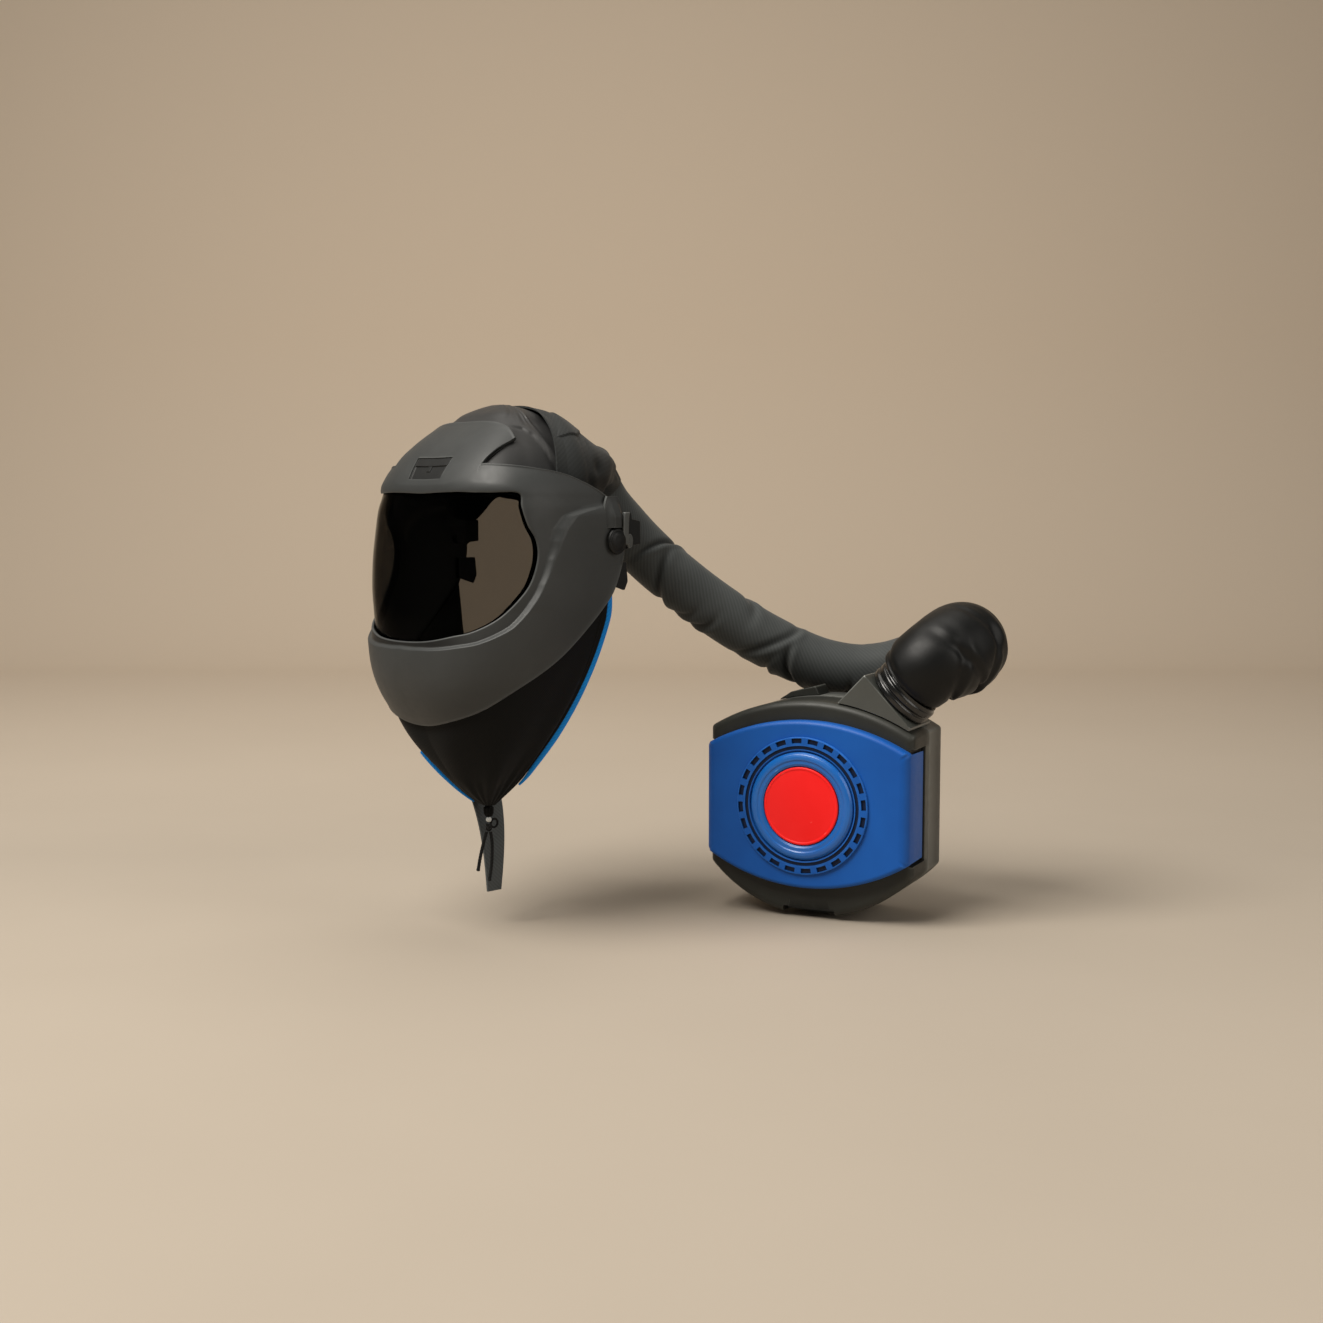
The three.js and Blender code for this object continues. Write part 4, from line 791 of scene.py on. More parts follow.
# %% [markdown]
# ## Visor
# The visor is a curved pane of smoke-tinted polycarbonate, seated behind the opening, so rings that
# grow from its middle to the opening's outline follow the form and sink as the cube of the
# distance. It could be one sheet, but real walls matter for a clear pane: light bends at both
# faces.

# %% Visor
VISOR_MIDDLE = np.array((0.0, -140.0, -28.0))
LENS_INSET, LENS_WALL, LENS_LAP = 5.1, 2.0, 6.0
loop_open, loop_edge = round_the_shell(opening), round_the_shell(edge)
loop_span = round_the_shell(span[:, None])[:, 0]
loop_places = round_the_shell(places[:, None])[:, 0]


def opening_ring(lap, inset):
    """The opening's outline, moved outward along the form by the lap and inward by the inset."""
    share_out = lap / loop_span
    depth = np.broadcast_to(-inset, share_out.shape)
    return raised(between(loop_open, loop_edge, share_out), depth)


lens_rim = opening_ring(LENS_LAP, np.zeros(1))
grow = np.linspace(0.04, 1, 26)
lens_share = np.r_[grow, grow[::-1]]
lens_sink = LENS_INSET * lens_share ** 3 + np.repeat((0, LENS_WALL), len(grow))
lens_points = between(VISOR_MIDDLE, lens_rim, lens_share[:, None])
lens_grid = raised(lens_points, np.broadcast_to(-lens_sink[:, None], lens_points.shape[:2]))

print(f"pane: {len(grow)} rings on each face")

# %% Visor finish
# Smoke-tinted polycarbonate with an anti-glare coat: it dims what lies behind it and has faint
# wipe marks in its gloss. The coat takes nearly all of the mirror shine, so the IOR is close to
# air's.
SMOKED_PC, tree, shader = new_finish("smoked_polycarbonate", {
    "Base Color": linear("#6c6a67"), "Transmission Weight": 1.0, "IOR": 1.06})
place = add(tree, "TexCoord").outputs["Object"]
wiped = add(tree, "Mapping", {"Vector": place, "Scale": (1.0, 1.0, 6.0)}).outputs[0]
smear = add(tree, "TexNoise", {"Vector": wiped, "Scale": per(70), "Detail": 4.0}).outputs["Fac"]
gloss = add(tree, "MapRange", {"Value": smear, "To Min": 0.0, "To Max": 0.07}).outputs[0]
tree.links.new(gloss, shader.inputs["Roughness"])
piece("visor_pane", SMOKED_PC, [skin(lens_grid)], ["visor_lens"])

# %% [markdown]
# ### Seal
# A black rubber seal keeps the air in behind the pane's edge. It is a small profile with a round
# lip, carried round the same outline, and it reaches deeper behind the brow, where it shows as a
# dark band.

# %% Seal
# Matt rubber: it swallows light, so that the opening gets a thin black outline
RUBBER = moulded("matt_black_rubber", "#070707", "#0e0e0e", "#2c2c2c", 1.0, 0.6, shine=0.3)
SEAL_FRONT, SEAL_WALL, SEAL_LIP, SEAL_LAP = LENS_INSET + LENS_WALL + 1, 2.5, 0.8, 8.0
BROW_BAND = 10.0
round_lip = np.linspace(-np.pi / 2, np.pi / 2, 9)
seal_flat = np.linspace(SEAL_WALL / 2 - SEAL_LIP, SEAL_LAP, 8)[1:]
seal_lap = np.r_[-SEAL_LIP + SEAL_WALL / 2 * (1 - np.cos(round_lip)), seal_flat, seal_flat[::-1]]
seal_inset = np.r_[SEAL_FRONT + SEAL_WALL / 2 * (1 - np.sin(round_lip)),
                   np.full(7, SEAL_FRONT), np.full(7, SEAL_FRONT + SEAL_WALL)]
deeper = BROW_BAND * (1 - ramp(loop_places, 5.5, 8.5)) * (1 - ramp(seal_lap, -1.7, 2))[:, None]
seal_grid = opening_ring(seal_lap[:, None] - deeper, seal_inset[:, None]).transpose(1, 0, 2)
piece("visor_rubber", RUBBER, [skin(seal_grid, round_rows=True, poles=False)],
      ["visor_seal"])

# %% [markdown]
# ## Inner dome
# A dark inner dome carries the shell and shows through its side windows. It is a stack of level
# rings drawn in from the form. A padded band arches over it from temple to temple: the rings
# swell where they lie above the band's lower edge, which is a table of levels by bearing. Below
# the edge the dome is marked to be darker, as a window in shadow is.

# %% Dome rings
DOME_RIM, DOME_BACK, DOME_WALL = 49.0, 60.0, 2.5
DOME_SIDE_INSET, DOME_FRONT_INSET = 10.5, 2.2


def dome_rings(z, wall_in):
    """Level rings of the dome: the form's section a little higher up, drawn in at the front and
    sides and cut short at the back."""
    drop = 4.6 - 3.6 * ramp(z, 96, 108)
    wall_in = np.broadcast_to(wall_in, z.shape)
    front, _, half, square = form_section(z + drop + wall_in)
    size = half / form_section(np.array([DOME_RIM]))[2]
    angle = np.linspace(0, 2 * np.pi, z.shape[1], endpoint=False)
    side = np.abs(np.sin(angle)) ** (2 / square) * np.sign(np.sin(angle))
    ahead = np.abs(np.cos(angle)) ** (2 / square)
    reach = np.where(np.cos(angle) > 0, -(front - (DOME_FRONT_INSET + wall_in) * size),
                     (DOME_BACK - wall_in) * size)
    across = side * (half - (DOME_SIDE_INSET + wall_in) * size)
    return np.stack([across, FORM_MIDDLE + ahead * reach, z], -1)


print("dome: from", DOME_RIM, "mm up to", FORM_TOP - 1, "mm")

# %% Dome
DOME_ROWS, DOME_SIDES = 84, 240
dome_top = FORM_TOP - 1
dome_climb = np.repeat(1 - np.linspace(0.03, 1, DOME_ROWS)[:, None] ** 2, DOME_SIDES, 1)
dome_z = DOME_RIM + (dome_top - DOME_RIM) * dome_climb
# Lower edge of the arch band: bearing from the front (degrees) and level
ARCH_LINE = np.array([
    (0, 94), (50, 92), (60, 91), (66, 90), (73, 84), (78, 72), (81, 56), (84, 44), (180, 40)])
ARCH_ROLL, WINDOW_PAD, WINDOW_DARK = 1.8, 1.6, 0.5
bare = dome_rings(dome_z, 0.0)
bearing = np.degrees(np.arctan2(np.abs(bare[..., 0]), FORM_MIDDLE - bare[..., 1]))
arch_z = np.interp(bearing, *ARCH_LINE.T)
lean = (np.interp(bearing + 1, *ARCH_LINE.T) - np.interp(bearing - 1, *ARCH_LINE.T)) / 3.2
over_line = (dome_z - arch_z) / np.sqrt(1 + lean ** 2)
roll = (ARCH_ROLL * ramp(over_line, 0, 5) * (1 - 0.75 * ramp(over_line, 7, 18))
        * (1 - ramp(bearing, 84, 96)))
roll = np.maximum(roll, WINDOW_PAD * (1 - ramp(bearing, 50, 64)))
dome_out = dome_rings(dome_z, -roll)
dome_in = dome_rings(DOME_RIM + (dome_top - DOME_WALL - DOME_RIM) * dome_climb[::-1], DOME_WALL)
window = WINDOW_DARK * (1 - ramp(over_line, -1.5, 1.0))
# Painted shade: the dome's inner face is mixed towards black
dome_inside_shade = np.full(dome_in.shape[:2], INSIDE_SHADE)
piece("inner_dome", DOME_NYLON, [skin(np.concatenate([dome_out, dome_in]))],
      ["crown_dome"], sharp=60, shade=np.concatenate([window, dome_inside_shade]))

# %% [markdown]
# ## Cloth hood
# Over the back of the crown a cloth hood gathers towards the hose. It is a row of arches that start
# wide and close to a ring over the hose's end; behind the temples the arches' ends hang on as a
# short skirt. Then the cloth is moved along its normal: folds where it is drawn in, a dent and a
# tuck behind the temple, a flap sewn over the crown, and a soft front rim. Cloth has two faces,
# 1.8 mm apart. A simulation could give folds, but not at the places that these have.

# %% Hood arches
CLOTH_WALL = 1.8
# Middle of the arch (y, z), half width, rise, tilt and reach (degrees), sweep of its ends
HOOD_ROWS = [
    (-22, 46, 98, 70, 0, 92, 32), (-6, 46, 98, 65.5, 4, 95, 14), (20, 46, 77, 50, 20, 106, 0),
    (48, 46, 55, 42, 40, 130, 0), (62, 46, 40, 33, 52, 163, 0),
    (78, 36.6, 28.6, 28.6, 53, 176, 0)]


def normals(grid):
    """Unit normals of a grid: the step along the rows crossed with the step along the columns."""
    return unit(np.cross(np.gradient(grid, axis=0), np.gradient(grid, axis=1)))


HOOD_SKIRT, SKIRT_SHARE = 30.0, 0.84
hood_row = np.linspace(0, len(HOOD_ROWS) - 1, 150)[:, None]
y, z, half, rise, tilt, reach, sweep = (c[:, None] for c in cubic(HOOD_ROWS, hood_row[:, 0]).T)
hood_side = np.linspace(-1, 1, 241)
side_turn = np.interp(hood_side, (-1, -SKIRT_SHARE, SKIRT_SHARE, 1), (-1, -0.95, 0.95, 1))
angle = np.radians(reach) * side_turn
lift = rise * np.cos(angle)
hangs = ramp(hood_row, 0.2, 1.0) * (1 - ramp(hood_row, 1.3, 2.1))
skirt = HOOD_SKIRT * hangs * np.clip((np.abs(hood_side) - SKIRT_SHARE) / (1 - SKIRT_SHARE), 0, 1)
hood_arch = np.stack([half * np.sin(angle),
                      y - sweep * np.sin(angle) ** 2 + lift * np.sin(np.radians(tilt)) + 0.15 * skirt,
                      z + lift * np.cos(np.radians(tilt)) - skirt], -1)
print("hood: arches", hood_arch.shape[:2])

# %% Hood
gathered = ramp(hood_row, 1.4, 3.2) * (1 - ramp(hood_row, 4.2, 5.0))
folds = gathered * (1.2 * np.sin(5 * angle + 0.8) + 0.7 * np.sin(9 * angle + 1.7 * hood_row)
                    + 0.4 * np.sin(15 * angle - hood_row))
inner_part = ramp(hood_row, 0.3, 1.2) * (1 - ramp(hood_row, 4.0, 4.8))
sag = 0.9 * inner_part * np.sin(2.2 * hood_row + 3 * np.abs(angle))
bearing = np.degrees(np.abs(angle))
temple = ramp(bearing, 30, 62)
slim = -3.5 * np.exp(-((hood_row - 2.2) / 0.7) ** 2) * (1 - temple)
tuck = -2.2 * temple * np.exp(-((hood_row - 1.15) / 0.2) ** 2)
dent = -2.4 * np.exp(-((hood_row - 1.5) / 0.16) ** 2 - ((bearing - 78) / 8) ** 2)
neck = 2.5 * np.exp(-((hood_row - 2.1) / 0.35) ** 2) * temple
# A flap of cloth over the back of the crown: rows of its front and rear edge by bearing
flap_front = np.interp(bearing, (0, 56), (1.35, 0.08))
flap_back = np.interp(bearing, (0, 30, 50, 56), (2.4, 1.7, 1.03, 0.08))
FLAP_THICK, FLAP_STEP = 1.5, 0.04
flap = (FLAP_THICK * ramp(hood_row, flap_front - FLAP_STEP, flap_front + FLAP_STEP)
        * (1 - ramp(hood_row, flap_back - FLAP_STEP, flap_back + FLAP_STEP)))
soft_rim = -3.4 * (1 - ramp(hood_row, 0, 0.7)) * ramp(bearing, 12, 40)
hood_in = normals(hood_arch)
hood_move = folds + sag + slim + tuck + dent + neck + flap + soft_rim
hood_out = hood_arch - hood_in * hood_move[..., None]
# Painted shade where the cloth turns under behind the temple, and in its dent
turned_under = ramp(bearing, 80, 92) * ramp(hood_row, 0.7, 1.2) * (1 - ramp(hood_row, 2.6, 3.4))
hood_shade = np.maximum(0.9 * turned_under, -0.3 * dent)
hood_uv = np.stack([np.broadcast_to(hood_side * 120, angle.shape),
                    np.broadcast_to(hood_row * 30, angle.shape)], -1)
hood = piece("cloth_hood", HOOD_TWILL,
             [sheet_skin(hood_out, hood_arch + hood_in * CLOTH_WALL, hood_uv)], ["crown_hood"],
             shade=np.hstack([hood_shade, hood_shade[:, ::-1]]))

# %% [markdown]
# ## Temples
# On each temple a black knob holds the shell on its pivot, with a grey cup over it, a latch lever
# behind it and a small tab at the cheek's rear edge. Most are outlines in the side view, carried
# outwards along x with rounded edges. The cup is a bump on the form itself, high over the knob and
# running out towards the brow. The right side is the mirror image.

# %% Knob
PIVOT_Y, PIVOT_Z, PIVOT_POST = -4.0, -9.0, 5.0
TEMPLE_X, CHEEK_HIGH = 111.5, 5.5
pivot_face = raised(np.array((TEMPLE_X, PIVOT_Y, PIVOT_Z)), CHEEK_HIGH)[0] + 1
OUTWARD = np.array((1, 0, 0))
oval = np.linspace(0, 2 * np.pi, 96, endpoint=False)


def side_plate(outline_yz, inner, outer, radius, crown=0.0):
    """An outline in (y, z) carried along x from the inner to the outer face, both edges rounded."""
    inset, depth = bevelled(-outer, -inner, radius)
    grid = moulding(outline_yz, inset, depth, crown)
    return skin(np.stack([-grid[..., 1], grid[..., 0], grid[..., 2]], -1))


def ellipse(y, z, half, tall):
    """An ellipse in the side view."""
    return np.column_stack([y + half * np.cos(oval), z + tall * np.sin(oval)])


knob_dish = soften([(0.4, 2.2), (6.0, 1.8), (8.6, 0.8), (9.4, 0), (0.4, 0)], 0.8, 0.2, closed=False)
knob = side_plate(ellipse(PIVOT_Y, PIVOT_Z, 11, 12), pivot_face, pivot_face + 4.2, 2.0)
boss = turned(knob_dish[::-1], np.array((pivot_face + 3.9, PIVOT_Y, PIVOT_Z)), OUTWARD, 64)
post_profile = np.array([(PIVOT_POST - 0.6, 0), (PIVOT_POST, 0.6), (PIVOT_POST, 10)])
post_foot = np.array((pivot_face - SHELL_WALL - 6, PIVOT_Y, PIVOT_Z))
post = turned(post_profile, post_foot, OUTWARD, 48)
print(f"temple: the knob stands on x = {pivot_face:.1f} mm")

# %% Cup
CUP_FOOT, CUP_HEAD, CUP_HALF, CUP_HIGH = 3.4, 31.0, 11.0, 6.5
CUP_SEAT, CUP_WALL, CUP_DARK = 5.2, 3.0, 0.35
cup_up = np.linspace(0, 1, 60)[:, None]
cup_over = np.linspace(-1, 1, 61)
cup_z = CUP_FOOT + (CUP_HEAD - CUP_FOOT) * cup_up
cup_y = PIVOT_Y - 1 + CUP_HALF * np.sqrt(1 - 0.97 * ramp(cup_up, 0.25, 1.25) ** 2) * cup_over
cup_seat = np.stack(np.broadcast_arrays(TEMPLE_X, cup_y, cup_z), -1)
cup_base = raised(cup_seat, np.full(cup_y.shape, CUP_SEAT))
cup_swell = CUP_HIGH * (1 - ramp(np.abs(cup_over), 0.3, 1)) * (1 - ramp(cup_up, 0.3, 1)) - 0.5
cup = sheet_skin(cup_base + cup_swell[..., None] * OUTWARD, cup_base - CUP_WALL * OUTWARD,
                 np.zeros((*cup_y.shape, 2)))
print(f"cup: {CUP_HEAD - CUP_FOOT:.0f} mm tall")

# %% Lever and tab
LEVER_HALF, LEVER_DARK = 17, 0.97
lever_bow = np.linspace(LEVER_HALF, -LEVER_HALF, 15)
lever_edge = np.column_stack([9 - 1.5 * (1 - (lever_bow / LEVER_HALF) ** 2), lever_bow])
lever = soften([*lever_edge, (15, -13), (26, -12), (26, 9), (15, 11), (14, 17)], 1.2, 0.4)
latch = side_plate(lever, pivot_face - 0.9, pivot_face + 1.2, 0.8)
bar = soften([*(lever_edge[:-2] - (5.5, 0)), *(lever_edge[:-2] + (1.0, 0))[::-1]], 1.0, 0.3)
latch_bar = side_plate(bar, pivot_face + 0.8, pivot_face + 4.6, 1.0)
hook = side_plate(ellipse(11.5, -9, 3.8, 6.5), pivot_face + 0.5, pivot_face + 3.2, 1.2)
heel = soften([(-6, -48), (13, -54), (17, -46), (15, -28), (-6, -28)], 1.5, 0.4)
heel_face = pivot_face - SHELL_WALL - 2.8
tab = side_plate(heel, heel_face - 3.2, heel_face, 0.8)
# Levers: grey nylon with pale edges, partly worn by fingers and partly painted highlight, so that
# the bar and the hook stand out from the plate
LEVER_NYLON = moulded("worn_highlit_grey_nylon", "#434544", "#525453", "#b5b7b6", 0.6, 0.42)

# %% Both temples
for side, turn_over in (("left", lambda parts: parts), ("right", mirrored)):
    piece(f"temple_knob_{side}", BLACK_NYLON,
          [turn_over(part) for part in (knob, boss, post)], [f"pivot_{side}"])
    piece(f"temple_cup_{side}", SHELL_ABS, [turn_over(cup)],
          [f"pivot_cup_{side}"], shade=np.full(len(cup[0]), CUP_DARK))
    piece(f"temple_lever_{side}", LEVER_NYLON,
          [turn_over(part) for part in (latch, latch_bar, hook)], [f"latch_{side}"],
          shade=np.full(len(latch[0]), LEVER_DARK))
    piece(f"cheek_tab_{side}", BLACK_NYLON, [turn_over(tab)], [f"rear_tab_{side}"])

# %% [markdown]
# ## Cape
# A bib of black cloth hangs from the shell's lower edge and is drawn together below the chin. Its
# top is tucked up behind the shell's rim. Each line of it, from the rim down to the gather, is a
# Bezier curve: a(1-t)^3 + 3b(1-t)^2 t + 3c(1-t)t^2 + d t^3. Cloth drawn in must fold, so waves run
# down it, few and soft at the rim, many and tight at the gather. Its rear edges are hemmed, and
# bend outwards as a bound edge does.

# %% Cape lines
CAPE_TIP = np.array((0.0, -58.0, -257.0))
CAPE_RING, CAPE_WRAP, CHEEK_STATION, CAPE_TUCK = 5.0, 0.82, 13, 4.0
cape_place = np.linspace(-1, 1, 289)
cape_down = np.linspace(0, 1, 121)
cape_station = LAST_STATION + (CHEEK_STATION - LAST_STATION) * np.abs(cape_place)
cape_open, cape_edge = along_stations(cape_station)
cape_raise = along_ridge(cape_station)[2]
flat_zero = np.zeros(len(cape_place))
cape_span = np.linalg.norm(raised(cape_open, flat_zero) - raised(cape_edge, flat_zero), axis=1)
cape_top = raised(between(cape_open, cape_edge, 1 - CAPE_TUCK / cape_span),
                  cape_raise - SHELL_WALL - CLOTH_WALL)
cape_top[:, 0] *= np.sign(cape_place + 1e-9)
wind = cape_place * np.pi * CAPE_WRAP
cape_foot = CAPE_TIP + CAPE_RING * np.column_stack([np.sin(wind), -np.cos(wind), flat_zero])
fall = (cape_foot - cape_top)[:, 2]
leave = cape_top + (cape_foot - cape_top) * 0.08
leave[:, 2] = cape_top[:, 2] + 0.32 * fall
arrive = cape_foot + (cape_top - cape_foot) * 0.41
arrive[:, 2] = cape_foot[:, 2] - 0.2 * fall
t = cape_down[:, None]
cape_line = (cape_top[:, None] * (1 - t) ** 3 + 3 * leave[:, None] * (1 - t) ** 2 * t
             + 3 * arrive[:, None] * (1 - t) * t ** 2 + cape_foot[:, None] * t ** 3)
print("cape: lines", cape_line.shape[:2])

# %% Cape
FOLD_ROOM, SOFT_FOLD, TIGHT_FOLD, SWAY = 40, 3.0, 1.5, 0.8
LIP_START, LIP_OUT, LIP_SWELL = 0.93, 3.0, 4.0
HEM, STITCH = 0.8, 0.5
cape_out_way = (cape_line - CAPE_TIP) * (1, 1, 0)
room = np.minimum(np.linalg.norm(cape_out_way, axis=-1, keepdims=True) / FOLD_ROOM, 1)
place_up = np.abs(cape_place)[:, None, None]
soft_fold = SOFT_FOLD * room * np.sin(5 * np.pi * place_up + 2 * t) * np.sin(np.pi * t ** 1.5)
tight_fold = TIGHT_FOLD * room * np.sin(17 * np.pi * place_up + 4 * t) * ramp(t, 0.55, 0.95)
sway = SWAY * np.sin(9 * t + 5 * cape_place[:, None, None]) * np.sin(np.pi * t)
lip_bend = (np.clip((place_up - LIP_START) / (1 - LIP_START), 0, 1) ** 2
            * ramp(t, 0, 0.15) * ramp(1 - t, 0, 0.2))
flare = (LIP_OUT + LIP_SWELL * np.exp(-((t - 0.6) / 0.25) ** 2)) * lip_bend
flare_way = np.stack([0.7 * np.sign(cape_place), np.full_like(cape_place, 0.7), flat_zero],
                     -1)[:, None]
cape_outer = cape_line + unit(cape_out_way) * (soft_fold + tight_fold + sway) + flare * flare_way
cape_normal = normals(cape_outer)
hem = HEM * ramp(place_up, 0.9, 0.905)
stitch = STITCH * np.exp(-((place_up - 0.915) / 0.004) ** 2)
cape_face = cape_outer - cape_normal * (hem - stitch)
cape_uv = np.stack(np.broadcast_arrays(170 * cape_place[:, None], 165 * cape_down), -1)
cape = piece("cloth_cape", CAPE_TWILL,
             [sheet_skin(cape_face, cape_outer + cape_normal * CLOTH_WALL, cape_uv)], ["cape"])

# %% [markdown]
# ### Blue trim
# Tape is folded over the two rear edges, and piping is sewn on a front seam. Both are tubes with an
# elliptical ring that follow a line of the cape's own grid, so they bend with the cloth. The upper
# end is short and blunt, the lower one tapers into the gather. The far binding starts lower down,
# because that is all of it that the photograph shows.

# %% Cape trim
TRIM_ROWS, TRIM_SIDES, UPPER_EASE, LOWER_EASE = 160, 20, 3, 50


def trim(line, face_way, wide, thick):
    """A folded tape: an elliptical ring, wide across the cloth's edge and thin through it, that
    grows with the square root of the distance from each end."""
    path = evenly(line, TRIM_ROWS)
    hint = evenly(face_way, TRIM_ROWS)
    a = 2 * np.pi * np.arange(TRIM_SIDES) / TRIM_SIDES
    ring = 1 / np.sqrt((np.cos(a) / wide) ** 2 + (np.sin(a) / thick) ** 2)
    row = np.arange(TRIM_ROWS)
    ease = np.sqrt(np.minimum(1, np.minimum(row / UPPER_EASE, row[::-1] / LOWER_EASE) + 0.1))
    return tube(path, ring * ease[:, None], hint, TRIM_SIDES)


PIPING_SHARE, PIPING_OFF, PIPING_ROWS = -0.389, 2.6, slice(60, 113)
BINDING_OFF = 3.4
# Side, column of the cape's edge, the column inside it and the rows that the binding covers
BINDINGS = [("left", -1, -2, slice(3, 105)), ("right", 0, 1, slice(43, 105))]
piping_place = np.argmin(np.abs(cape_place - PIPING_SHARE))
piping_line = (cape_outer - PIPING_OFF * cape_normal)[piping_place, PIPING_ROWS]
piping_way = cape_normal[piping_place, PIPING_ROWS]
middle_cloth = cape_outer + cape_normal * CLOTH_WALL / 2
trims = [piece("front_piping", BLUE_TAPE,
               [trim(piping_line, piping_way, 2.2, 2.0)], ["cape_piping"])]
for side, column, inner_column, rows in BINDINGS:
    away = unit(middle_cloth[column] - middle_cloth[inner_column])[rows]
    line = middle_cloth[column, rows] + BINDING_OFF * away
    trims.append(piece(f"edge_binding_{side}", BLUE_TAPE,
                       [trim(line, cape_normal[column, rows], 3.6, 1.8)],
                       [f"cape_binding_{side}"]))

# %% [markdown]
# ## Gather, bead and knot
# Below the cape the cloth is pinched to a pleated stub, a pale bead keeps the cord tight, and the
# cord ends in a knot. The stub is a turned profile whose radius ripples with the angle. The knot
# is a trefoil, (sin a + 2 sin 2a, cos a - 2 cos 2a, -sin 3a), with a tube on it, and its loop a
# ring.

# %% Gather and bead
PLEATS, PLEAT_DEPTH, PLEAT_TWIST = 11, 0.1, 0.2
UP = np.array((0, 0, 1))


def pleats(height, angle):
    """1 + depth cos(pleats angle + twist height): ripples that wind a little as they rise."""
    return 1 + PLEAT_DEPTH * np.cos(PLEATS * angle + PLEAT_TWIST * height)


gather_profile = soften([(0.4, 6), (2.8, 6), (2.8, -1), (4.6, -2.4), (4.2, -8), (2.6, -11),
                         (0.4, -11)], 0.8, 0.25, closed=False)
piece("gather_stub", CAPE_TWILL,
      [turned(gather_profile, CAPE_TIP, UP, 96, pleats)], ["cape_gather"])
BEAD_BELOW = 13.7
bead_profile = soften([(0.3, 2.3), (1.7, 2.3), (2.65, 0.8), (2.65, -0.8), (1.7, -2.3), (0.3, -2.3)],
                      0.7, 0.15, closed=False)
piece("pale_bead", PALE_NYLON,
      [turned(bead_profile, CAPE_TIP - BEAD_BELOW * UP, UP, 48)], ["cord_bead"])

# %% Knot
KNOT_BELOW, KNOT_SIZE, KNOT_CORD = 21, 0.95, 1.45
LOOP_SIZE, LOOP_CORD = 4, 1.1
a = np.linspace(0, 2 * np.pi, 160, endpoint=False)
knot_middle = CAPE_TIP - KNOT_BELOW * UP
trefoil = np.column_stack([np.sin(a) + 2 * np.sin(2 * a), -np.sin(3 * a),
                           np.cos(a) - 2 * np.cos(2 * a)])
loop_ring = np.column_stack([np.zeros(len(a)), np.cos(a), np.sin(a)])
loop_middle = knot_middle + (0, 6.5, 3)
piece("cord_knot", CORD_BRAID,
      [closed_tube(knot_middle + KNOT_SIZE * trefoil, KNOT_CORD, (0, 1, 0), 14),
       closed_tube(loop_middle + LOOP_SIZE * loop_ring, LOOP_CORD, (1, 0, 0), 12)],
      ["drawstring_knot"])

# %% [markdown]
# ## Webbing tail
# A short tail of grey webbing hangs behind the cord and tapers downwards. It is a thin strip whose
# face is a function of the way down and the way across, with two rows of stitches as small raised
# dashes and a thicker woven edge. Its narrowed top runs on into the cape, where it is sewn in.

# %% Tail
TAIL_TOP, TAIL_DROP, TAIL_SEWN = -238, 104, 18.0
STITCH_STEP, STITCH_INSET, TAIL_HALF = 4, 0.12, 0.75
down = np.linspace(-TAIL_SEWN / TAIL_DROP, 1, 270)[:, None]
over = np.linspace(0, 1, 41)
free = np.maximum(down, 0)
sewn = np.maximum(-down, 0) * TAIL_DROP / TAIL_SEWN
front_edge, rear_edge = -62 + 9 * down, -24 - 13 * down
tail_y = front_edge * (1 - over) + rear_edge * over + (8 * (1 - over) - 12 * over) * sewn
tail_x = (-9 - 21.3 * (1 - free) ** 3
          + 0.8 * np.sin(3 * np.pi * over) * np.sin(np.pi * free))
tail_z = np.broadcast_to(TAIL_TOP - TAIL_DROP * down, tail_y.shape)
tail_face = np.stack([tail_x, tail_y, tail_z], -1)
tail_edge = np.minimum(over, 1 - over)
dashes = ramp(np.sin(2 * np.pi * TAIL_DROP * down / STITCH_STEP), -0.1, 0.3)
stitches = 0.3 * np.exp(-((tail_edge - STITCH_INSET) / 0.02) ** 2) * dashes
selvedge = 0.35 * (1 - ramp(tail_edge, 0.03, 0.06))
thick = OUTWARD * (TAIL_HALF + stitches + selvedge)[..., None]
tail_uv = np.stack([tail_y, tail_z], -1)
tail = piece("webbing_tail", WEBBING,
             [sheet_skin(tail_face + thick, tail_face - thick, tail_uv)], ["pull_tail"])

# %% [markdown]
# ## Blower housing
# The fan and filter ride on a belt in a flat housing with straight sides and a bowed top and base,
# turned twenty degrees. Its outline is two arcs joined by two lines; the outline is carried
# through a rounded profile. Recesses for the cover's tabs and the finger notch could be cut by a
# boolean; here they are made by limiting coordinates, because the walls are upright.

# %% Blower outlines
BLOWER_PLACE = np.array((177.7, 216.5, -261.2))
BLOWER_TURN = np.radians(20)
TURN = np.array([(np.cos(BLOWER_TURN), -np.sin(BLOWER_TURN), 0),
                 (np.sin(BLOWER_TURN), np.cos(BLOWER_TURN), 0), (0, 0, 1)])


def on_blower(skin_parts):
    """A skin in the blower's own frame, turned and put in its place."""
    points, faces, corners = skin_parts
    return points @ TURN.T + BLOWER_PLACE, faces, corners


def bowed(half, upper, lower, crown, base, radius=3.0):
    """An outline with straight sides and a bowed top and base: each bow is the arc of a circle
    through the two corners and the middle height."""
    x = np.linspace(half, -half, 90)

    def bow(corner, middle):
        rise = middle - corner
        size = (half ** 2 + rise ** 2) / (2 * abs(rise))
        return middle - np.sign(rise) * (size - np.sqrt(size ** 2 - x ** 2))

    top = np.column_stack([x, bow(upper, crown)])
    bottom = np.column_stack([x[::-1], bow(lower, base)])
    return soften(np.vstack([top, bottom]), radius, 0.8)


